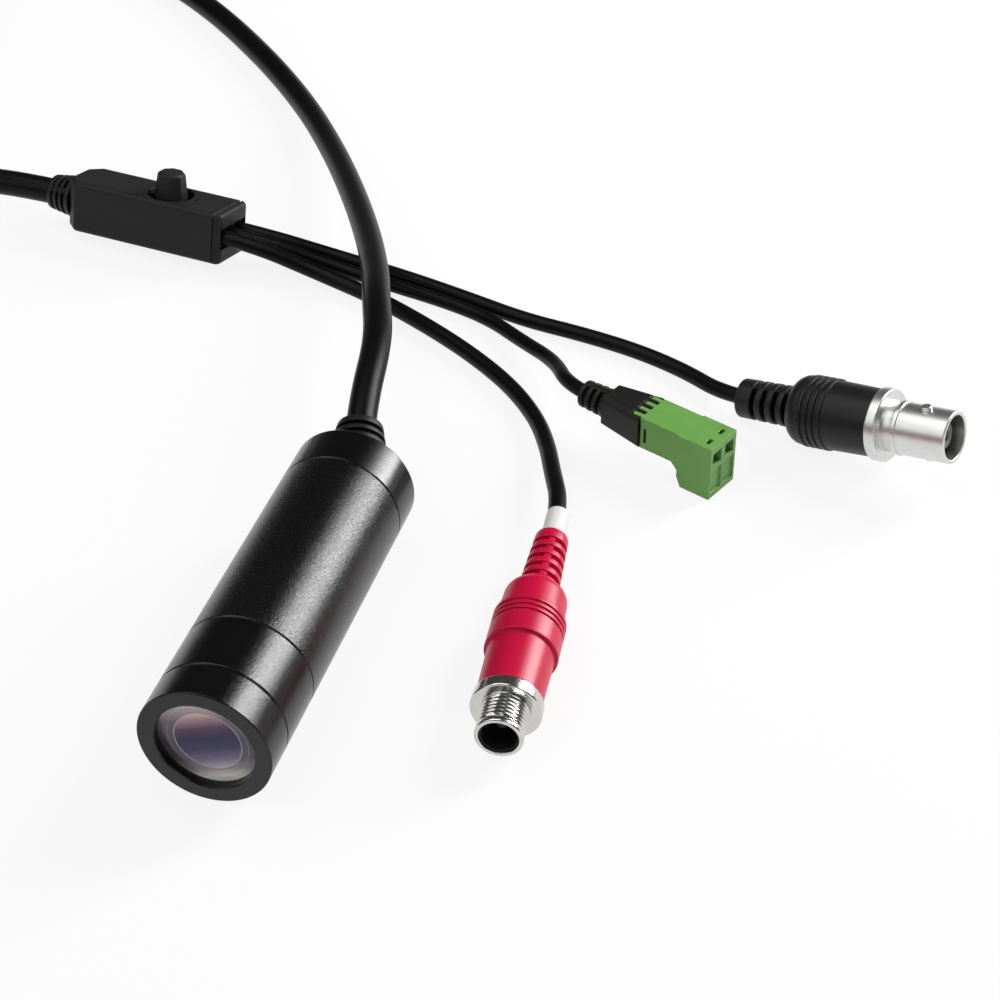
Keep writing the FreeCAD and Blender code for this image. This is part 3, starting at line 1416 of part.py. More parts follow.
def make_coil():
    """The wound-up length of the main cable, and the tie round it."""
    place = Placement(COIL_CENTRE, STAND_UP)
    inner = (S.coil_mean_d - S.coil_band) / 2
    outer = (S.coil_mean_d + S.coil_band) / 2
    low = S.tie_skin + S.slip
    high = low + S.coil_height
    coil = turned("main_cable_coil", rectangle(inner, outer, low, high), place)
    rims = (float(inner), float(outer))
    soften(coil, "Fillet", cable_r, lambda edge: isinstance(edge.Curve, Part.Circle) and
           min(abs(edge.Curve.Radius - r) for r in rims) < 1e-6)
    tie = new_body("coil_tie")
    near = inner - S.tie_room
    far = outer + S.slip
    outside = rectangle(near - S.tie_skin, far + S.tie_skin, 0, high + S.slip + S.tie_skin)
    inside = rectangle(near, far, S.tie_skin, high + S.slip)
    pad(tie, "XZ", [outside, inside], -S.tie_w / 2, S.tie_w)
    keep(tie, "coil_tie", Placement(COIL_CENTRE, Rotation(UP, TIE_BEARING)))


def vectors(points):
    return [Vector(*point) for point in points]


def make_cables():
    box_floor = BOX.multVec(Vector(0, float(S.box_wall), float(box_split)))
    box_tip = BOX.multVec(Vector(0, -float(S.relief_len) - LEAD_EXIT_RUN, float(box_split)))
    head_side = [boot_point(S.boot_socket), boot_point(float(S.boot_tail_len) + BOOT_EXIT_RUN)]
    cable("main_cable_camera_side", head_side + vectors(MAIN_ROUTE_TO_COIL), S.main_cable_d)
    cable("main_cable_box_side", vectors(MAIN_ROUTE_FROM_COIL) + [box_tip, box_floor], S.main_cable_d)
    leads = [
        ("power_cable", 1, POWER_ROUTE, POWER, POWER_TAIL_RUN, 0, S.power_cable_d),
        ("data_cable", 0, DATA_ROUTE, DATA, DATA_TAIL_RUN, S.data_axis_height, S.data_cable_d),
        ("video_cable", -1, VIDEO_ROUTE, VIDEO, VIDEO_TAIL_RUN, 0, S.video_cable_d),
    ]
    inside = float(S.box_len - S.grommet_inset - S.grommet_len)
    for name, side, route, place, tail_run, height, diameter in leads:
        across = side * float(S.lead_pitch)
        start = BOX.multVec(Vector(across, inside, float(S.lead_height)))
        leave = BOX.multVec(Vector(across, inside + LEAD_EXIT_RUN, float(S.lead_height)))
        arrive = place.multVec(Vector(0, -tail_run, float(height)))
        end = place.multVec(Vector(0, TAIL_SEAT, float(height)))
        cable(name, [start, leave] + vectors(route) + [arrive, end], diameter)


def write_parts():
    """Checks every object and writes each sub-part to its own file."""
    doc.recompute()
    for item in doc.Objects:
        if "Invalid" in item.State or "Error" in item.State:
            raise RuntimeError(f"{item.Label} did not build: {item.State}")
    os.makedirs("parts", exist_ok=True)
    for item in sub_parts:
        shape = item.Shape
        if shape.isNull() or not shape.isValid() or shape.Volume <= 0:
            raise RuntimeError(f"{item.Label} has no valid shape")
    for item in sub_parts:
        item.Shape.exportStep(os.path.join("parts", f"{item.Label}.step"))
    print(len(sub_parts), "sub-parts written")


make_front_cap()
make_lens_housing()
make_main_tube()
make_rear_cap()
make_lens()
make_sensor()
make_main_board()
make_rear_boot()
make_box()
make_box_relief()
make_grommet()
make_joystick()
make_video()
make_power()
make_data_boot()
make_data_pins()
make_data_plug()
make_clamps()
make_coil()
make_cables()
write_parts()
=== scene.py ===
"""Looks of a lipstick camera with its cable, joystick box and three leads."""
import json
import math

import bmesh
import bpy
from mathutils import Matrix, Vector


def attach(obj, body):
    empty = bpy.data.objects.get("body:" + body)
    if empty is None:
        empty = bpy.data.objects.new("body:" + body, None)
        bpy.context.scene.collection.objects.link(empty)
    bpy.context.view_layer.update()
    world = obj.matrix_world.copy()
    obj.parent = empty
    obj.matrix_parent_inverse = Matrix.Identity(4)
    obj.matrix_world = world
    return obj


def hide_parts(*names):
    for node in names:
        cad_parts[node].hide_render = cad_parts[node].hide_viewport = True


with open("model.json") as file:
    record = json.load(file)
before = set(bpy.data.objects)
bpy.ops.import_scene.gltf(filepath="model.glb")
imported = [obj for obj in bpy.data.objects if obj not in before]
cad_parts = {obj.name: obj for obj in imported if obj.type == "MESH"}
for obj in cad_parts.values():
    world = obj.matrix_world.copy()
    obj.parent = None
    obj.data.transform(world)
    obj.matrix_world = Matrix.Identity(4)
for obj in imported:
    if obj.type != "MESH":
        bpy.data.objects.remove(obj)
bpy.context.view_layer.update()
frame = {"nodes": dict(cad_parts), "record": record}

MM = 0.001
UP = Vector((0, 0, 1))


# Finishes

class Field:
    """A socket of a finish's nodes; arithmetic on it adds Math nodes."""

    def __init__(self, finish, socket):
        self.finish = finish
        self.socket = socket

    def maths(self, operation, first, second):
        return self.finish.node("ShaderNodeMath", {"operation": operation}, {0: first, 1: second})

    def __add__(self, other):
        return self.maths("ADD", self, other)

    def __radd__(self, other):
        return self.maths("ADD", other, self)

    def __sub__(self, other):
        return self.maths("SUBTRACT", self, other)

    def __rsub__(self, other):
        return self.maths("SUBTRACT", other, self)

    def __mul__(self, other):
        return self.maths("MULTIPLY", self, other)

    def __rmul__(self, other):
        return self.maths("MULTIPLY", other, self)


class Finish:
    """The nodes of a material or the world: one shader, and what varies it over a surface."""

    def __init__(self, owner, shader):
        owner.use_nodes = True
        self.owner = owner
        self.tree = owner.node_tree
        self.shader = self.tree.nodes[shader]

    def node(self, kind, settings=None, sockets=None, output=0):
        """Adds one node: its settings first, then the values or links of its sockets."""
        added = self.tree.nodes.new(kind)
        for label, value in (settings or {}).items():
            if label == "stops":
                lay_stops(added.color_ramp, value)
            else:
                setattr(added, label, value)
        for label, value in (sockets or {}).items():
            self.feed(added.inputs[label], value)
        return Field(self, added.outputs[output])

    def feed(self, socket, value):
        if isinstance(value, Field):
            self.tree.links.new(value.socket, socket)
        else:
            socket.default_value = value

    def surface(self, **fields):
        for label, value in fields.items():
            self.feed(self.shader.inputs[label.replace("_", " ")], value)

    def spot(self):
        """Where a point of the surface lies, in metres."""
        return self.node("ShaderNodeTexCoord", output="Object")

    def grain(self, size_mm, detail=2.0, spot=None):
        """Noise whose lumps are about this many millimetres across."""
        sockets = {"Vector": spot or self.spot(), "Scale": 1.0 / (size_mm * MM), "Detail": detail}
        return self.node("ShaderNodeTexNoise", None, sockets)

    def vector(self, operation, *terms, output="Vector"):
        return self.node("ShaderNodeVectorMath", {"operation": operation}, dict(enumerate(terms)), output)

    def offset(self, base):
        """From a base in millimetres to a point of the surface, in metres."""
        return self.vector("SUBTRACT", self.spot(), Vector(base) * MM)

    def in_frame(self, place, stretch):
        """The spot in a placed frame, in metres, stretched along its three axes."""
        back = place.inverted().to_euler()
        turned = self.node("ShaderNodeVectorRotate", {"rotation_type": "EULER_XYZ"},
                           {"Vector": self.offset(place.translation), "Rotation": back})
        return self.vector("MULTIPLY", turned, stretch)

    def along(self, base, direction):
        """How far a point lies from a base along a direction, both in millimetres."""
        return self.vector("DOT_PRODUCT", self.offset(base), Vector(direction) / MM, output="Value")

    def ramp(self, factor, *stops):
        return self.node("ShaderNodeValToRGB", {"stops": stops}, {"Fac": factor})

    def tones(self, factor, *stops):
        """A ramp whose stops are a position and the three levels of a display colour."""
        return self.ramp(factor, *[(position, shade(*levels)) for position, *levels in stops])

    def blend(self, factor, first, second):
        return self.node("ShaderNodeMix", {"data_type": "RGBA"}, {0: factor, 6: first, 7: second}, 2)

    def relief(self, height, depth_mm):
        """Bumps the surface by a height field that is this deep."""
        self.surface(Normal=self.node("ShaderNodeBump", None, {"Height": height, "Distance": depth_mm * MM}))


def lay_stops(ramp, stops):
    while len(ramp.elements) < len(stops):
        ramp.elements.new(1.0)
    for element, (position, colour) in zip(ramp.elements, stops):
        element.position = position
        element.color = colour


def shade(red, green, blue):
    """A display colour of 0 to 255 as the shader's linear one."""
    def linear(level):
        level /= 255
        return level / 12.92 if level <= 0.04045 else ((level + 0.055) / 1.055) ** 2.4
    return (linear(red), linear(green), linear(blue), 1.0)


def grey(level):
    return (level, level, level, 1.0)


BLACK = grey(0.0)
WHITE = grey(1.0)


def between(limits, part):
    """Runs from the low limit to the high one as the part runs from 0 to 1."""
    low, high = limits
    return low + (high - low) * part


def new_finish(name, **constants):
    material = bpy.data.materials.new(name)
    finish = Finish(material, "Principled BSDF")
    finish.surface(**constants)
    return finish


def moulded(name, dark, pale, roughness, texture_mm, depth_mm, **constants):
    """Moulded plastic or rubber: clouded colour, uneven gloss and a fine skin texture."""
    finish = new_finish(name, **constants)
    cloud = finish.grain(size_mm=4.0, detail=3.0)
    skin = finish.grain(texture_mm)
    finish.surface(Base_Color=finish.blend(cloud, dark, pale),
                   Roughness=between(roughness, cloud * 0.5 + skin * 0.5))
    finish.relief(skin, depth_mm)
    return finish.owner


def anodised(name, dark, pale, roughness, fleck_mm, depth_mm, **constants):
    """Bead-blasted aluminium, dyed black: flecks that sparkle and faint smears."""
    finish = new_finish(name, **constants)
    fleck = finish.grain(fleck_mm, detail=1.0)
    sparkle = finish.ramp(fleck, (0.38, BLACK), (0.62, WHITE))
    smear = finish.grain(size_mm=9.0, detail=3.0)
    finish.surface(Base_Color=finish.blend(smear, dark, pale),
                   Roughness=between(roughness, sparkle * 0.8 + smear * 0.2))
    finish.relief(fleck, depth_mm)
    return finish.owner


TOOL_MARK_STRETCH = (0.6, 9.0, 0.6)


def plated(name, tint, shadow, roughness, place=None):
    """Plated metal with fine tool marks, which run round the axis of a placed turned piece."""
    finish = new_finish(name, Metallic=1.0)
    if place is None:
        marks = finish.grain(size_mm=0.2)
    else:
        marks = finish.grain(size_mm=1.0, spot=finish.in_frame(place, TOOL_MARK_STRETCH))
    cloud = finish.grain(size_mm=2.5, detail=3.0)
    finish.surface(Base_Color=finish.blend(cloud, tint, shadow),
                   Roughness=between(roughness, marks * 0.6 + cloud * 0.4))
    finish.relief(marks, depth_mm=0.002)
    return finish.owner


TRACKS_PER_METRE = 900.0


def circuit_board(name, mask, copper):
    """Green solder mask over a grid of tracks."""
    finish = new_finish(name, Specular_IOR_Level=0.5)
    cells = finish.node("ShaderNodeTexVoronoi", {"distance": "MANHATTAN"},
                        {"Vector": finish.spot(), "Scale": TRACKS_PER_METRE})
    tracks = finish.ramp(cells, (0.0, WHITE), (0.35, BLACK))
    finish.surface(Base_Color=finish.blend(tracks, mask, copper),
                   Roughness=between((0.3, 0.45), finish.grain(size_mm=0.5)))
    finish.relief(tracks, depth_mm=0.02)
    return finish.owner


LENS_AXIS = (0, 0, 11)
TO_UPPER_EDGE = (-0.35, 0.94)
TO_LOWER_EDGE = (0.3, -0.95)
# The pale tint of the painted highlights on the lens rims.
PAINTED_RIM_HIGHLIGHT = shade(190, 180, 190)
RING_EDGE = 0.008
CM_PER_METRE = 100.0
MM_PER_CM = 10.0


def across_lens(finish, lean, reach):
    """Runs from 0 to 1 over the lens along a leaning line, seen square on from the front."""
    lean_x, lean_z = lean
    return finish.along(LENS_AXIS, (lean_x / reach, 0, lean_z / reach)) * 0.5 + 0.5


def lens_radius(finish):
    """Distance from the lens axis, in centimetres so that a ramp can take it."""
    flat = finish.vector("MULTIPLY", finish.offset(LENS_AXIS), (CM_PER_METRE, 0, CM_PER_METRE))
    return finish.vector("LENGTH", flat, output="Value")


def radius_lines(finish, scale):
    """Fine rings about the lens axis."""
    place = finish.node("ShaderNodeCombineXYZ", None, {0: lens_radius(finish) * MM_PER_CM})
    return finish.node("ShaderNodeTexWave", {"wave_type": "BANDS", "bands_direction": "X"},
                       {"Vector": place, "Scale": scale, "Distortion": 0.0})


def thin_ring(inner, outer, level):
    """Stops of a ramp over the lens radius that draw one painted highlight ring with soft edges."""
    return (inner - RING_EDGE, BLACK), (inner, level), (outer, level), (outer + RING_EDGE, BLACK)


def painted_coating_reflections(finish):
    """Painted reflections in the lens coatings: pale violet at the lower edge, dark in the middle, rose at
    the upper edge.
    """
    return finish.tones(across_lens(finish, TO_UPPER_EDGE, reach=5.7),
                        (0.0, 170, 163, 176), (0.17, 112, 107, 127), (0.35, 72, 70, 94), (0.55, 62, 60, 84),
                        (0.72, 90, 72, 92), (0.87, 156, 126, 136), (1.0, 205, 180, 170))


def element_painted_reflections():
    """The front lens: painted reflections of its coatings, which shift from violet grey to rose over its
    bulge, with a painted highlight on its rim.
    """
    finish = new_finish("element_painted_reflections", Specular_IOR_Level=0.7, IOR=1.6, Roughness=0.06, Coat_Weight=0.4)
    # A painted highlight: a pale band at the lens's rim.
    rim = finish.ramp(lens_radius(finish), (0.545, BLACK), (0.56, WHITE))
    finish.surface(Base_Color=finish.blend(rim, painted_coating_reflections(finish), PAINTED_RIM_HIGHLIGHT))
    finish.relief(finish.grain(size_mm=1.5), depth_mm=0.002)
    return finish.owner


def lens_ring():
    """The blackened ring around the lens: fine turned lines over painted reflections, paler towards its upper
    and lower edges.
    """
    finish = new_finish("lens_ring_black_painted_reflections", Specular_IOR_Level=0.5)
    # Painted reflections: pale at the upper and lower edges, dark between.
    painted_ring_reflection = finish.tones(across_lens(finish, TO_LOWER_EDGE, reach=6.6),
                        (0.0, 190, 175, 175), (0.16, 120, 108, 114), (0.42, 86, 78, 90),
                        (0.74, 100, 92, 98), (0.9, 176, 170, 164), (1.0, 205, 200, 190))
    lines = radius_lines(finish, scale=1.1)
    finish.surface(Base_Color=finish.blend(lines * 0.55, painted_ring_reflection, shade(40, 36, 44)),
                   Roughness=between((0.35, 0.45), lines))
    finish.relief(lines, depth_mm=0.03)
    return finish.owner


def window_painted_reflections():
    """The coated pane, painted with reflections: rose to violet grey over the lens, with painted highlight
    rings and fine lines around that.
    """
    finish = new_finish("window_painted_reflections", IOR=1.5, Specular_IOR_Level=0.4)
    radius = lens_radius(finish)
    # Painted reflections around the lens: pale at the upper and lower edges, dark between.
    around = finish.tones(across_lens(finish, TO_LOWER_EDGE, reach=8.2),
                          (0.0, 190, 178, 178), (0.05, 240, 226, 224), (0.13, 196, 180, 184),
                          (0.25, 118, 108, 118), (0.5, 76, 70, 82), (0.72, 92, 85, 94),
                          (0.84, 150, 142, 146), (0.9, 226, 218, 212), (0.94, 255, 250, 242),
                          (1.0, 240, 232, 222))
    ringed = finish.blend(radius_lines(finish, scale=0.36) * 0.18, around, shade(52, 48, 56))
    outside = finish.ramp(radius, (0.545, BLACK), (0.555, WHITE))
    # Two painted highlight rings: a pale one at the lens's rim and a fainter one outside it.
    rim = finish.ramp(radius, *thin_ring(0.548, 0.562, WHITE), *thin_ring(0.658, 0.666, grey(0.5)))
    pane = finish.blend(outside, painted_coating_reflections(finish), ringed)
    finish.surface(Base_Color=finish.blend(rim * 0.6, pane, PAINTED_RIM_HIGHLIGHT),
                   Alpha=between((0.86, 0.96), outside),
                   Metallic=0.8 - 0.8 * outside,
                   Roughness=between((0.14, 0.2), finish.grain(size_mm=3.0)))
    return finish.owner


tube_black = anodised("tube_black", shade(5, 5, 6), shade(8, 8, 9), roughness=(0.18, 0.32),
                      fleck_mm=0.22, depth_mm=0.05, Specular_IOR_Level=0.42)
ring_black = anodised("ring_black", shade(5, 5, 6), shade(8, 8, 9), roughness=(0.17, 0.27),
                      fleck_mm=0.22, depth_mm=0.034, Specular_IOR_Level=0.36)
tail_black = anodised("tail_black", shade(5, 5, 6), shade(7, 7, 8), roughness=(0.2, 0.26),
                      fleck_mm=0.2, depth_mm=0.014, Specular_IOR_Level=0.36)
lens_black = anodised("lens_black", shade(18, 17, 20), shade(34, 32, 38), roughness=(0.3, 0.42),
                      fleck_mm=0.2, depth_mm=0.006)
rubber = moulded("boot_rubber", shade(14, 14, 15), shade(21, 21, 22), roughness=(0.36, 0.52),
                 texture_mm=0.16, depth_mm=0.008, Specular_IOR_Level=0.32)
wedge_rubber = moulded("wedge_rubber", shade(15, 17, 14), shade(23, 25, 21), roughness=(0.4, 0.56),
                       texture_mm=0.2, depth_mm=0.008, Specular_IOR_Level=0.28)
seal = moulded("seal_rubber", shade(16, 16, 16), shade(24, 24, 24), roughness=(0.5, 0.7),
               texture_mm=0.2, depth_mm=0.01)
cable_skin = moulded("cable_skin", shade(8, 8, 9), shade(13, 13, 14), roughness=(0.3, 0.42),
                     texture_mm=0.3, depth_mm=0.005, Specular_IOR_Level=0.11)
box_plastic = moulded("box_plastic", shade(17, 17, 18), shade(24, 24, 25), roughness=(0.46, 0.62),
                      texture_mm=0.18, depth_mm=0.012, Specular_IOR_Level=0.3)
holder_plastic = moulded("holder_plastic", shade(14, 14, 14), shade(20, 20, 20), roughness=(0.5, 0.7),
                         texture_mm=0.2, depth_mm=0.01)
chip_plastic = moulded("chip_plastic", shade(24, 24, 25), shade(34, 34, 35), roughness=(0.4, 0.6),
                       texture_mm=0.1, depth_mm=0.004)
crimson = moulded("crimson_rubber", shade(184, 1, 50), shade(200, 4, 63), roughness=(0.28, 0.42),
                  texture_mm=0.35, depth_mm=0.008, Specular_IOR_Level=0.32)
plug_green = moulded("plug_green", shade(90, 144, 60), shade(108, 161, 77), roughness=(0.38, 0.54),
                     texture_mm=0.2, depth_mm=0.005)
sleeve_white = moulded("sleeve_white", shade(206, 206, 204), shade(222, 222, 221), roughness=(0.4, 0.55),
                       texture_mm=0.3, depth_mm=0.006)
# The insulator is mid grey instead of its own white: painted shade for the inside of the video jack's bore.
insulator_painted_shade = moulded("insulator_painted_shade", shade(104, 104, 102), shade(128, 128, 126), roughness=(0.35, 0.5),
                         texture_mm=0.3, depth_mm=0.004)
tie_fabric = moulded("tie_fabric", shade(20, 20, 21), shade(40, 40, 41), roughness=(0.7, 0.9),
                     texture_mm=0.35, depth_mm=0.08)
steel = plated("clamp_steel", shade(196, 196, 194), shade(170, 170, 168), roughness=(0.2, 0.36))
gold = plated("contact_gold", shade(226, 190, 112), shade(206, 164, 84), roughness=(0.16, 0.3))
board = circuit_board("board_green", shade(12, 74, 44), shade(38, 112, 62))
lens_glass = element_painted_reflections()
lens_rim = lens_ring()
window = window_painted_reflections()


# Frames of the pieces, in millimetres

def lay(base, forward, lean=0.0):
    """A frame with Y along forward and Z as upright as it can be, leant about Y by degrees."""
    forward = Vector(forward).normalized()
    upright = (UP - forward * forward.z).normalized()
    side = forward.cross(upright)
    axes = Matrix((side, forward, upright)).transposed().to_4x4()
    return Matrix.Translation(base) @ axes @ Matrix.Rotation(math.radians(lean), 4, "Y")


def heading(degrees, rise=0.0):
    return Vector((math.cos(math.radians(degrees)), math.sin(math.radians(degrees)), rise))


# Heights and stations in the frames of the box and the wedge boot
BOX_SEAM = 5.4
LEAD_PITCH = 3.3
LEAD_START = 34.2
LEAD_EXIT = 43.2
DATA_LEAD_HEIGHT = 7.8

HEAD = lay((0, -34.5, 11.0), (0, 1, 0))
BOOT = lay((0, 34.5, 11.0), (-3.0, 12.4, 4.0))
BOX = lay((-90.5, 114.9, 1.1703), heading(-7), -13)
RELIEF = BOX @ Matrix.Translation((0, 0, BOX_SEAM))
VIDEO = lay((58.1, 88.3, 3.6233), heading(-18.7, 3.0 / 14.5))
POWER = lay((35.8, 33.5, 6.821), heading(-84.4, -0.3 / 13.1))
DATA = lay((30.6, 75.6, 0.0), heading(-22))
COIL_CENTRE = Vector((-188.0, 176.0, 0.0))
TIE = Matrix.Translation(COIL_CENTRE) @ Matrix.Rotation(math.pi, 4, "Z")


def point(place, x, y, z):
    return tuple(place @ Vector((x, y, z)))


nickel_video = plated("nickel_video", shade(226, 226, 224), shade(206, 206, 204), roughness=(0.3, 0.4),
                      place=VIDEO)
nickel_power = plated("nickel_power", shade(214, 213, 210), shade(192, 191, 188), roughness=(0.12, 0.26),
                      place=POWER)


# Cables

body_of = {node: body for body, nodes in frame["record"]["behaviour"]["bodies"].items() for node in nodes}
shown = dict(frame["nodes"])


def new_object(name, data):
    item = bpy.data.objects.new(name, data)
    bpy.context.scene.collection.objects.link(item)
    return item


def settle(piece, *nodes):
    """Rides a piece on the body of the CAD nodes it stands for, hides those nodes and lists the piece in
    their place.
    """
    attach(piece, body_of[nodes[0]])
    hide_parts(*nodes)
    for node in nodes:
        shown[node] = piece
    return piece


def cable(name, points, diameter, *nodes):
    """A round cable along a smooth line, in place of its CAD tubes."""
    data = bpy.data.curves.new(name, "CURVE")
    data.dimensions = "3D"
    line = data.splines.new("NURBS")
    line.points.add(len(points) - 1)
    for knot, place in zip(line.points, points):
        knot.co = (*(Vector(place) * MM), 1.0)
    line.order_u = 3
    line.use_endpoint_u = True
    data.resolution_u = 8
    data.bevel_depth = diameter / 2 * MM
    data.bevel_resolution = 8
    data.use_fill_caps = True
    data.materials.append(cable_skin)
    return settle(new_object(name, data), *nodes)


COIL_TURN_POINTS = 20


def coil_points():
    """Two layers of turns: inwards along the floor, a climb, and outwards on top."""
    floor_turns, climb_turns, top_turns = 2.55, 0.35, 2.503
    outer, inner = 38.0, 23.0
    floor_z, top_z, start_angle = 2.8, 9.1, 125.0
    tie_lift, tie_spread, tie_angle = 0.75, 26.0, 180.0
    total = floor_turns + climb_turns + top_turns
    count = round(total * COIL_TURN_POINTS)
    points = []
    for step in range(1, count):
        turn = total * step / count
        if turn < floor_turns:
            radius = outer + (inner - outer) * turn / floor_turns
            level = 0.0
        elif turn < floor_turns + climb_turns:
            radius = inner
            part = (turn - floor_turns) / climb_turns
            level = part * part * (3 - 2 * part)
        else:
            radius = inner + (outer - inner) * (turn - floor_turns - climb_turns) / top_turns
            level = 1.0
        angle = start_angle + 360.0 * turn
        off_tie = angle % 360.0 - tie_angle
        lift = tie_lift * math.exp(-(off_tie / tie_spread) ** 2)
        height = (floor_z + lift) * (1 - level) + top_z * level
        points.append(tuple(COIL_CENTRE + heading(angle) * radius + UP * height))
    return points


def out_of_box(side):
    """A lead's first two points, straight out of the end of the box."""
    return point(BOX, side, LEAD_START, BOX_SEAM), point(BOX, side, LEAD_EXIT, BOX_SEAM)


main_route = [
    point(BOOT, 0, 7.2, 0), point(BOOT, 0, 17.0, 0),
    (-6.3, 66.5, 18.6), (-11.2, 79.4, 18.2), (-15.4, 91.2, 16.2), (-22.2, 106.8, 13.4), (-32.4, 126.9, 10.0),
    (-45.4, 149.9, 6.2), (-60.1, 172.1, 3.5), (-77.1, 191.8, 2.8), (-98.8, 212.3, 2.8), (-121.5, 228.5, 2.8),
    (-147.5, 235.5, 2.9), (-174.0, 229.5, 3.2), (-196.0, 215.5, 3.5),
    *coil_points(),
    (-176.0, 136.4, 8.2), (-156.0, 130.6, 5.6), (-138.0, 125.0, 3.9), (-121.0, 119.6, 4.0),
    point(BOX, 0, -14.6, BOX_SEAM), point(BOX, 0, 1.3, BOX_SEAM),
]
power_route = [
    *out_of_box(LEAD_PITCH), (-33.8, 108.0, 2.6), (-19.4, 103.6, 1.7),
    (-5.8, 96.4, 1.7), (5.2, 89.4, 1.7), (14.8, 81.6, 1.8), (22.2, 72.4, 2.4), (27.0, 62.6, 4.0),
    (30.2, 54.0, 5.5), point(POWER, 0, -9.0, 0), point(POWER, 0, 3, 0),
]
data_route = [
    *out_of_box(0), (-33.8, 111.9, 2.6), (-19.2, 109.6, 1.5),
    (-7.0, 107.0, 1.5), (3.6, 103.3, 1.6), (12.4, 96.4, 2.4), (21.4, 88.4, 4.6),
    point(DATA, 0, -4.0, DATA_LEAD_HEIGHT), point(DATA, 0, 3, DATA_LEAD_HEIGHT),
]
video_route = [
    *out_of_box(-LEAD_PITCH), (-33.0, 115.4, 2.4), (-17.6, 113.2, 1.6),
    (-3.2, 109.2, 1.6), (10.4, 104.9, 1.6), (22.8, 103.2, 1.6), (34.6, 100.6, 1.6), (45.0, 96.4, 1.7),
    point(VIDEO, 0, -4.5, 0), point(VIDEO, 0, 3, 0),
]
main_cable = cable("main_cable", main_route, 5.4,
                   "main_cable_camera_side", "main_cable_coil", "main_cable_box_side")
power_lead = cable("power_lead", power_route, 3.2, "power_cable")
data_lead = cable("data_lead", data_route, 2.8, "data_cable")
video_lead = cable("video_lead", video_route, 3.0, "video_cable")


# Turned pieces

EASE_STEPS = 4
EASE_SHARE = 0.45
BULGE_STEPS = 7
SPINE_SUNK = 0.22
RADIUS_MARGIN = 0.01
WELD_M = 2e-7
SLIVER_M = 1e-8
SHARP_ANGLE = math.radians(38.0)


def rounded(corners):
    """An outline's corners (radius, station, easing) as points, each corner rounded by its easing."""
    points = []
    for index, (radius, station, *easing) in enumerate(corners):
        here = Vector((radius, station))
        back = Vector(corners[index - 1][:2]) - here
        ahead = Vector(corners[(index + 1) % len(corners)][:2]) - here
        if not easing:
            points.append(here)
            continue
        reach = min(easing[0], back.length * EASE_SHARE, ahead.length * EASE_SHARE)
        start = here + back.normalized() * reach
        end = here + ahead.normalized() * reach
        for step in range(EASE_STEPS + 1):
            part = step / EASE_STEPS
            points.append(start * (1 - part) ** 2 + here * (2 * part * (1 - part)) + end * part ** 2)
    return points


def bulge(start, end, radius):
    """Corners along an outward arc between two corners of an outline."""
    start, end = Vector(start), Vector(end)
    chord = end - start
    outward = Vector((chord.y, -chord.x)).normalized()
    centre = (start + end) / 2 - outward * math.sqrt(radius ** 2 - chord.length_squared / 4)
    sweep = (start - centre).angle_signed(end - centre)
    turns = [Matrix.Rotation(-sweep * step / BULGE_STEPS, 2) for step in range(BULGE_STEPS + 1)]
    return [tuple(centre + turn @ (start - centre)) for turn in turns]


def grooved(radius, start, end, count, width, depth, ease):
    """Corners of a plain stretch with ring grooves spaced along it."""
    floor = radius - depth
    corners = []
    for index in range(count):
        station = start + (end - start) * (index + 1) / (count + 1)
        low, high = station - width / 2, station + width / 2
        corners += [(radius, low, ease), (floor, low, ease), (floor, high, ease), (radius, high, ease)]
    return corners


class Ribs:
    """A tapered tail with ring slots that leave a low spine on two opposite sides."""

    def __init__(self, start, end, stations, width, floor, spine, lean):
        self.start = start
        self.end = end
        self.stations = stations
        self.width = width
        self.floor = floor
        self.spine = spine
        self.lean = lean

    def radius(self, station):
        part = (station - self.start[1]) / (self.end[1] - self.start[1])
        return self.start[0] + (self.end[0] - self.start[0]) * part

    def corners(self, ease):
        corners = []
        for station in self.stations:
            low, high = station - self.width / 2, station + self.width / 2
            corners += [(self.radius(low), low, ease), (self.floor, low, ease), (self.floor, high, ease),
                        (self.radius(high), high, ease)]
        return corners

    def carve(self, radius, station, angle):
        """The tail's radius at an angle about its axis, with the spine filling its slots."""
        off_spine = abs((math.degrees(angle) - self.lean) % 180.0 - 90.0)
        in_tail = self.start[1] < station < self.end[1] and radius > self.floor - RADIUS_MARGIN
        if in_tail and off_spine < self.spine:
            return max(radius, self.radius(station) - SPINE_SUNK)
        return radius


def join_rings(shape, near, far):
    """Adds a strip of faces between two closed rings of a mesh's points."""
    for index in range(len(near)):
        after = (index + 1) % len(near)
        shape.faces.new((near[index], near[after], far[after], far[index]))


def spin(shape, place, corners, columns=96, carve=None):
    """Adds a turned form to a mesh: a closed outline spun about a frame's Y axis."""
    outline = rounded(corners)
    rings = []
    for column in range(columns):
        angle = 2 * math.pi * column / columns
        ring = []
        for radius, station in outline:
            reach = carve(radius, station, angle) if carve else radius
            spot = place @ Vector((reach * math.cos(angle), station, reach * math.sin(angle)))
            ring.append(shape.verts.new(spot * MM))
        rings.append(ring)
    for column, near in enumerate(rings):
        join_rings(shape, near, rings[(column + 1) % columns])


def make_piece(name, shape, finish, *nodes):
    """Closes a mesh, shades it evenly and puts it in the place of CAD nodes."""
    bmesh.ops.remove_doubles(shape, verts=shape.verts, dist=WELD_M)
    bmesh.ops.dissolve_degenerate(shape, edges=shape.edges, dist=SLIVER_M)
    bmesh.ops.recalc_face_normals(shape, faces=shape.faces)
    mesh = bpy.data.meshes.new(name)
    shape.to_mesh(mesh)
    shape.free()
    mesh.shade_smooth()
    mesh.set_sharp_from_angle(angle=SHARP_ANGLE)
    mesh.materials.append(finish)
    piece = new_object(name, mesh)
    even = piece.modifiers.new("even_shading", "WEIGHTED_NORMAL")
    even.keep_sharp = True
    return settle(piece, *nodes)


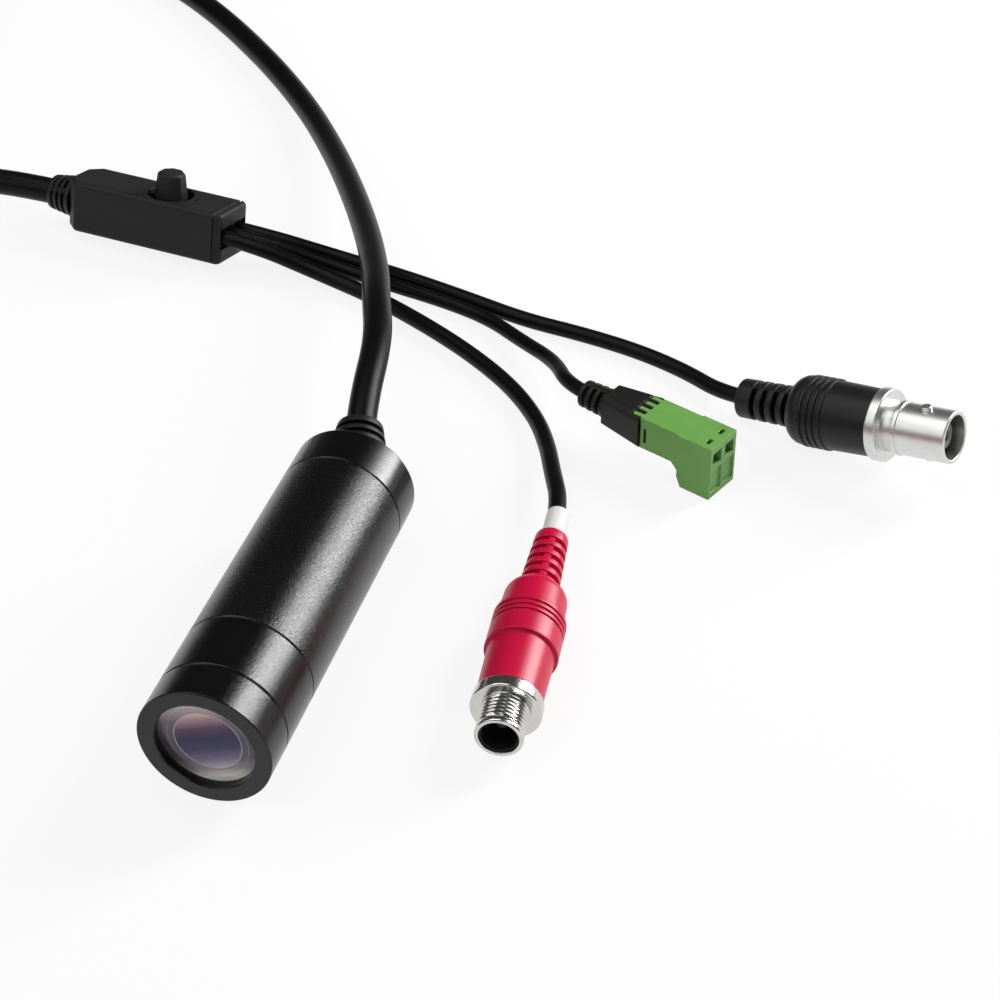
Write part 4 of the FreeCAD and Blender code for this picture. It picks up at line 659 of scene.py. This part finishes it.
def turned(name, place, corners, finish, node, columns=96, carve=None):
    shape = bmesh.new()
    spin(shape, place, corners, columns, carve)
    return make_piece(name, shape, finish, node)


HEAD_RADIUS = 11.0
BEZEL_END = 6.75
HOUSING_START = 6.8
TUBE_START = 18.1
TAIL_START = 60.6
HEAD_END = 69.0
SEAM_CHAMFER = 0.2
SEAM_EASE = 0.1
GROOVE_DEPTH = 0.8
GROOVE_WIDTH = 1.0


def barrel(start, end):
    """Corners of the head's outside from one seam to the next, chamfered at both."""
    rim = HEAD_RADIUS - SEAM_CHAMFER
    return [(rim, start), (HEAD_RADIUS, start + SEAM_CHAMFER, SEAM_EASE),
            (HEAD_RADIUS, end - SEAM_CHAMFER, SEAM_EASE), (rim, end)]


def seal_groove(radius, start):
    """Corners of a groove for an O-ring."""
    floor, end = radius - GROOVE_DEPTH, start + GROOVE_WIDTH
    return [(radius, start), (floor, start), (floor, end), (radius, end)]


turned("front_bezel", HEAD, [
    (8.4, 0, 0.04), (10.85, 0, 0.06), (HEAD_RADIUS, 0.15, 0.06), *barrel(0, BEZEL_END)[2:], (10, BEZEL_END),
    (10, 3.8), (9.05, 3.8), (9.05, 1.2), (8.2, 1.2), (8.2, 0.2, 0.04),
], ring_black, "front_cap", columns=160)
turned("lens_tube", HEAD, [
    (8, 4, 0.1), (9.92, 4, 0.1), *seal_groove(9.92, 5.2), (9.92, HOUSING_START),
    *barrel(HOUSING_START, TUBE_START), (9.75, TUBE_START), *seal_groove(9.75, 20), (9.75, 22.1), (8, 22.1),
], ring_black, "lens_housing", columns=160)
turned("long_tube", HEAD, [
    (9.8, TUBE_START), *barrel(TUBE_START, TAIL_START), (9.8, TAIL_START),
], tube_black, "main_tube", columns=160)
turned("tail_cap", HEAD, [
    (8.75, 56.6), (9.75, 56.6), *seal_groove(9.75, 59), (9.75, TAIL_START), *barrel(TAIL_START, HEAD_END)[:2],
    (HEAD_RADIUS, 68.65, 0.2), (10.65, HEAD_END, 0.2), (3.6, HEAD_END), (3.6, 66), (8, 66), (8, 58.7),
    (8.75, 58.7),
], tail_black, "rear_cap", columns=160)
# The pane, the front lens and its ring carry painted reflections.
turned("window_pane", HEAD, [
    (0, 1.6), (9, 1.6, 0.12), (9, 2.8, 0.12), (0, 2.8),
], window, "window_glass", columns=128)
turned("lens_bulge", HEAD, [
    (0, 7.8), (5.7, 7.8), *bulge((5.7, 6.4), (0, 5.2), radius=14.14)[:-1], (0, 5.2),
], lens_glass, "lens_front_element")
turned("lens_rim_ring", HEAD, [
    (5.75, 6.4), (5.3, 6.1, 0.05), (6.1, 4.6, 0.08), (6.6, 4.6, 0.08), (6.6, 6.4),
], lens_rim, "lens_front_ring")
turned("lens_cell", HEAD, [
    (6.65, 4.6, 0.06), (7.5, 4.6, 0.15), (7.5, 9), (6, 9), (6, 19.8), (4.05, 19.8), (4.05, 17.6), (3, 17.6),
    (3, 7.8), (5.75, 7.8), (5.75, 6.4), (6.65, 6.4),
], lens_black, "lens_barrel")


# Boots and jacks

DOME_RADIUS, DOME_STATION, DOME_STEPS = 6.203, 69.797, 10


def dome():
    """Corners of the tail boot's round end, from its rim to just short of its top."""
    angles = [math.pi / 2 * step / DOME_STEPS for step in range(DOME_STEPS)]
    return [(DOME_RADIUS * math.cos(angle), DOME_STATION + DOME_RADIUS * math.sin(angle)) for angle in angles]


boot_ribs = Ribs((5.8, 3.0), (4.1, 11.5), (3.9, 5.8, 7.7, 9.6), width=0.9, floor=3.2, spine=8.0, lean=90.0)
shape = bmesh.new()
spin(shape, HEAD, [
    (0, 64.8), (5, 64.8, 0.2), (5, 66), (3.55, 66), (3.55, 69), (6.2, 69, 0.15), *dome(), (0, 76),
])
spin(shape, BOOT, [
    (0, 3), (5.8, 3), *boot_ribs.corners(ease=0.16), (4.1, 11.5, 0.3), (2.75, 11.5, 0.1), (2.75, 7.2),
    (0, 7.2),
], carve=boot_ribs.carve)
make_piece("tail_boot", shape, rubber, "rear_boot")

relief_ribs = Ribs((3.6, -5.6), (4.5, 0.0), (-4.2, -2.8, -1.4), width=0.75, floor=3.17, spine=9.0, lean=-60.0)
turned("box_boot", RELIEF, [
    (2.75, -5.6, 0.1), (3.6, -5.6, 0.2), *relief_ribs.corners(ease=0.12), (4.5, 0, 0.08), (3.2, 0),
    (3.2, 1.3), (2.75, 1.3),
], rubber, "box_strain_relief", carve=relief_ribs.carve)

video_ribs = Ribs((3.7, 0.0), (3.9, 11.2), (3.7, 6.0, 8.3, 10.6), width=1.0, floor=2.05, spine=22.0, lean=0.0)
turned("video_jack_boot", VIDEO, [
    (1.55, 0, 0.1), (3.7, 0, 0.3), *video_ribs.corners(ease=0.2),
    *bulge((3.9, 11.2), (6.5, 14.5), radius=3.0), (6.7, 14.75, 0.15),
    *grooved(6.7, 14.5, 19.6, count=3, width=0.5, depth=0.35, ease=0.12),
    (6.7, 19.6, 0.2), (6.45, 19.6, 0.1), (6.25, 28.6, 0.15), (4.05, 28.6), (4.05, 19.3), (1.55, 19.3),
], rubber, "video_boot", carve=video_ribs.carve)

LUG_STATION = 38.2

shape = bmesh.new()
spin(shape, VIDEO, [
    (2.05, 19.3), (4, 19.3), (4, 28.6), (6.75, 28.6, 0.35), (6.75, 30.7, 0.35), (4.7, 30.7, 0.15),
    (4.7, 32.9, 0.1), (5.05, 32.9, 0.18), (5.05, 33.8, 0.18), (4.825, 33.8, 0.05), (4.825, 43.4, 0.3),
    (4.05, 43.4, 0.2), (4.05, 32.4), (2.05, 32.4),
], columns=128)
for side in (90, -90):
    lug = VIDEO @ Matrix.Translation((0, LUG_STATION, 0)) @ Matrix.Rotation(math.radians(side), 4, "X")
    spin(shape, lug, [(0, 4.4), (1, 4.4), (1, 5.5, 0.25), (0, 5.5)], columns=32)
make_piece("video_jack_shell", shape, nickel_video, "video_shell")
# The core's grey is painted shade for the inside of the bore.
turned("video_jack_core", VIDEO, [
    (1.05, 19.3), (2, 19.3), (2, 32.4), (4, 32.4), (4, 33.9, 0.1), (2.35, 33.9), (2.35, 41.7, 0.2),
    (1.05, 41.7, 0.1),
], insulator_painted_shade, "video_insulator")
turned("video_jack_contact", VIDEO, [
    (0, 19.3), (1, 19.3), (1, 41.35, 0.15), (0.5, 41.35, 0.1), (0.5, 36.35), (0, 36.35),
], gold, "video_contact", columns=48)

power_ribs = Ribs((2.9, 0.0), (3.5, 13.7), (2.89, 5.19, 7.49, 9.79, 12.09), width=1.0, floor=2.15, spine=13.0,
                  lean=12.0)
turned("power_jack_boot", POWER, [
    (1.65, 0, 0.1), (2.9, 0, 0.3), *power_ribs.corners(ease=0.2),
    *bulge((3.5, 13.7), (5.4, 16.5), radius=2.8), (5.6, 21.1, 0.1), (6.15, 21.1, 0.2),
    *grooved(6.15, 21.1, 25.7, count=3, width=0.45, depth=0.35, ease=0.1),
    (6.15, 29.3, 0.25), (5.6, 29.3, 0.15), (5.4, 40, 0.2), (4.25, 40), (4.25, 34), (1.65, 34),
], crimson, "power_boot", carve=power_ribs.carve)

THREAD_RADIUS, THREAD_PITCH, THREAD_DEPTH = 3.97, 0.79, 0.38
THREAD_START, THREAD_END = 42.5, 47.3
THREAD_RUN_IN, THREAD_RUN_OUT = 0.3, 0.4
THREAD_STEP, THREAD_STEPS = 0.0985, 50


def screw_thread(radius, station, angle):
    """Cuts the power jack's thread between its flange and its plain lip."""
    if radius < THREAD_RADIUS - RADIUS_MARGIN or not THREAD_START < station < THREAD_END:
        return radius
    turn = station / THREAD_PITCH - angle / (2 * math.pi)
    fade = min(1.0, (station - THREAD_START) / THREAD_RUN_IN, (THREAD_END - station) / THREAD_RUN_OUT)
    return radius - THREAD_DEPTH * fade * (0.5 - 0.5 * math.cos(2 * math.pi * turn))


turned("power_jack_shell", POWER, [
    (2.55, 34), (4.2, 34), (4.2, 40), (5.85, 40, 0.35), (5.85, 42.4, 0.35), (THREAD_RADIUS, 42.4),
    *[(THREAD_RADIUS, THREAD_START + THREAD_STEP * step) for step in range(THREAD_STEPS)],
    (THREAD_RADIUS, 48.4, 0.5), (3.25, 48.4, 0.2), (3.25, 37.4), (2.55, 37.4),
], nickel_power, "power_shell", columns=128, carve=screw_thread)
# The pin takes the dark lens finish instead of plated metal: painted shade, as it stands deep in the jack's
# dark bore.
turned("power_jack_pin", POWER, [
    (0, 34), (1.05, 34), (1.05, 45.4, 0.6), (0, 45.4),
], lens_black, "power_pin", columns=48)
turned("white_sleeve", POWER, [
    (1.85, -6.7, 0.05), (2.05, -6.7, 0.08), (2.05, -0.7, 0.08), (1.85, -0.7, 0.05),
], sleeve_white, "label_sleeve", columns=64)


# Moulded pieces

SEAM_MARGIN = 0.05
CAD_WELD_M = 1e-6
FLAT_ANGLE = math.radians(0.4)
EASED_ANGLE = math.radians(32.0)


def on_box_seam(edge):
    """Whether an edge lies where the box's lid meets its tray."""
    return all(abs((BOX.inverted() @ (end.co / MM)).z - BOX_SEAM) < SEAM_MARGIN for end in edge.verts)


def eased(name, finish, node, width, rings=2, left_sharp=None):
    """A copy of a CAD node with its facets merged and its edges rounded over."""
    shape = bmesh.new()
    shape.from_mesh(frame["nodes"][node].data)
    bmesh.ops.remove_doubles(shape, verts=shape.verts, dist=CAD_WELD_M)
    bmesh.ops.dissolve_limit(shape, angle_limit=FLAT_ANGLE, verts=shape.verts, edges=shape.edges)
    edges = [edge for edge in shape.edges
             if len(edge.link_faces) == 2 and edge.calc_face_angle() > EASED_ANGLE
             and not (left_sharp and left_sharp(edge))]
    bmesh.ops.bevel(shape, geom=edges, offset=width * MM, offset_type="OFFSET", segments=rings,
                    profile=0.5, affect="EDGES", clamp_overlap=False)
    return make_piece(name, shape, finish, node)


eased("box_lid", box_plastic, "control_box_cover", width=0.14, left_sharp=on_box_seam)
eased("box_tray", box_plastic, "control_box_base", width=0.14, left_sharp=on_box_seam)
eased("box_knob", box_plastic, "joystick_knob", width=0.22, rings=3)
eased("lead_bush", seal, "lead_grommet", width=0.2)
eased("wedge_boot", wedge_rubber, "data_boot", width=0.22, rings=3)
screw_plug = eased("screw_plug", plug_green, "data_plug", width=0.12)


def paint_slit_shade(piece):
    """Paints shade on the floors of the plug's two side slits with a black finish, so that they look open
    right through.
    """
    first, last, inner, outer, top = 15.8, 16.5, 3.25, 3.7, 9.1
    piece.data.materials.append(seal)
    for face in piece.data.polygons:
        spot = DATA.inverted() @ (face.center / MM)
        if first < spot.y < last and inner < abs(spot.x) < outer and spot.z < top:
            face.material_index = 1


paint_slit_shade(screw_plug)


def band(name, place, path, width, thick, finish, node):
    """A strap of some width along a path of (x, z) points in a frame's XZ plane."""
    shape = bmesh.new()
    half, skin, ease = width / 2, thick / 2, thick * 0.3
    section = [(half, skin - ease), (half - ease, skin), (ease - half, skin), (-half, skin - ease),
               (-half, ease - skin), (ease - half, -skin), (half - ease, -skin), (half, ease - skin)]
    rings = []
    for index, here in enumerate(path):
        run = Vector(path[min(index + 1, len(path) - 1)]) - Vector(path[max(index - 1, 0)])
        outward = Vector((run.y, -run.x)).normalized()
        ring = []
        for across, off in section:
            spot = Vector((here[0] + outward.x * off, across, here[1] + outward.y * off))
            ring.append(shape.verts.new((place @ spot) * MM))
        rings.append(ring)
    for near, far in zip(rings, rings[1:]):
        join_rings(shape, near, far)
    shape.faces.new(rings[0])
    shape.faces.new(rings[-1])
    return make_piece(name, shape, finish, node)


def tie_path():
    """Once round the coil's section and over its own start, with an end that lifts a little."""
    near, far, low, high, corner = 19.25, 41.45, 0.4, 12.3, 3.4
    start, stride, strides, corner_steps = 26.0, 0.8, 15, 8
    lap_start, lap_stride, lap_strides, lap_rise, rise_strides = 23.4, 1.1, 10, 0.82, 2.5
    path = [(start + stride * step, high) for step in range(strides)]
    for x, z, first in ((far - corner, high - corner, 90), (far - corner, low + corner, 0),
                        (near + corner, low + corner, -90), (near + corner, high - corner, -180)):
        for step in range(corner_steps + 1):
            angle = math.radians(first - 90 * step / corner_steps)
            path.append((x + corner * math.cos(angle), z + corner * math.sin(angle)))
    for step in range(lap_strides):
        path.append((lap_start + lap_stride * step, high + lap_rise * min(1.0, step / rise_strides)))
    return path + [(34.2, high + 0.86), (35.2, high + 0.98), (36.1, high + 1.2)]


band("coil_strap", TIE, tie_path(), width=7.0, thick=0.75, finish=tie_fabric, node="coil_tie")


def dress(finish, *nodes):
    """Gives CAD nodes that keep their shape a finish."""
    for node in nodes:
        mesh = frame["nodes"][node].data
        mesh.materials.clear()
        mesh.materials.append(finish)


dress(tail_black, "window_retainer", "lens_lock_ring")
dress(seal, "cap_seal", "body_seal", "rear_seal", "window_gasket")
dress(holder_plastic, "lens_holder", "joystick_gimbal", "power_insulator")
dress(board, "sensor_board", "main_board", "control_board")
dress(chip_plastic, "processor_chip", "board_parts", "cable_header", "board_connector", "joystick_switch")
dress(steel, "board_screws", "joystick_stem", "clamp_screw_left", "clamp_screw_right", "clamp_cage_left",
      "clamp_cage_right", "power_spring")
dress(nickel_power, "data_pins")
dress(gold, "plug_contacts")
# These share the front lens's finish and its painted reflections.
dress(lens_glass, "lens_rear_element", "ir_filter", "image_sensor")


# Stage

FLOOR_HALF = 20.0
FLOOR_TONE = 0.86
WHITE_SHARE = 0.86


def aimed(item, spot, target):
    item.location = spot
    item.rotation_euler = (Vector(target) - Vector(spot)).to_track_quat("-Z", "Y").to_euler()


def softbox(name, spot, target, wide, tall, watts):
    lamp = bpy.data.lights.new(name, "AREA")
    lamp.shape = "RECTANGLE"
    lamp.size = wide
    lamp.size_y = tall
    lamp.energy = watts
    aimed(new_object(name, lamp), spot, target)


def white_floor():
    """A pale floor that stays white to the camera and keeps a soft shadow."""
    mesh = bpy.data.meshes.new("floor")
    corners = [(-FLOOR_HALF, -FLOOR_HALF, 0), (FLOOR_HALF, -FLOOR_HALF, 0),
               (FLOOR_HALF, FLOOR_HALF, 0), (-FLOOR_HALF, FLOOR_HALF, 0)]
    mesh.from_pydata(corners, [], [(0, 1, 2, 3)])
    finish = new_finish("floor_white", Base_Color=grey(FLOOR_TONE), Roughness=0.9, Specular_IOR_Level=0.0)
    glow = finish.node("ShaderNodeEmission", None, {"Strength": 1.0})
    seen = finish.node("ShaderNodeLightPath", output="Is Camera Ray")
    mirrored = finish.node("ShaderNodeLightPath", output="Is Glossy Ray")
    through = finish.node("ShaderNodeLightPath", output="Is Transmission Ray")
    lit = Field(finish, finish.shader.outputs[0])
    mixed = finish.node("ShaderNodeMixShader", None,
                        {0: (seen + mirrored + through) * WHITE_SHARE, 1: lit, 2: glow})
    finish.feed(finish.tree.nodes["Material Output"].inputs[0], mixed)
    mesh.materials.append(finish.owner)
    piece = new_object("floor", mesh)


def studio_sky():
    """A pale horizon under a dim ceiling."""
    world = bpy.data.worlds.new("studio")
    bpy.context.scene.world = world
    sky = Finish(world, "Background")
    facing = sky.node("ShaderNodeTexCoord", output="Generated")
    height = sky.node("ShaderNodeSeparateXYZ", None, {0: facing}, "Z")
    sky.surface(Color=sky.ramp(height, (0.0, grey(0.12)), (0.35, grey(0.06)), (0.75, grey(0.05))))


white_floor()
studio_sky()
softbox("key_softbox", (0.42, 0.49, 0.345), (0.0, 0.0, 0.01), wide=0.15, tall=0.5, watts=6.2)
softbox("top_softbox", (-0.3, 0.0, 0.85), (0.0, 0.05, 0.0), wide=0.8, tall=0.7, watts=3.8)
softbox("front_softbox", (0.5, -0.8, 0.5), (0.0, 0.05, 0.0), wide=0.6, tall=0.4, watts=1.5)
softbox("left_softbox", (-0.55, -0.36, 0.46), (0.05, 0.05, 0.0), wide=0.45, tall=0.45, watts=0.9)

view = bpy.data.cameras.new("photo_camera")
view.lens = 82.8
view.sensor_width = 36.0
camera = new_object("photo_camera", view)
aimed(camera, (0.11382, -0.26179, 0.2547), (0.021711, 0.049906, 0.0))
bpy.context.scene.camera = camera
bpy.context.scene.view_settings.view_transform = "Standard"
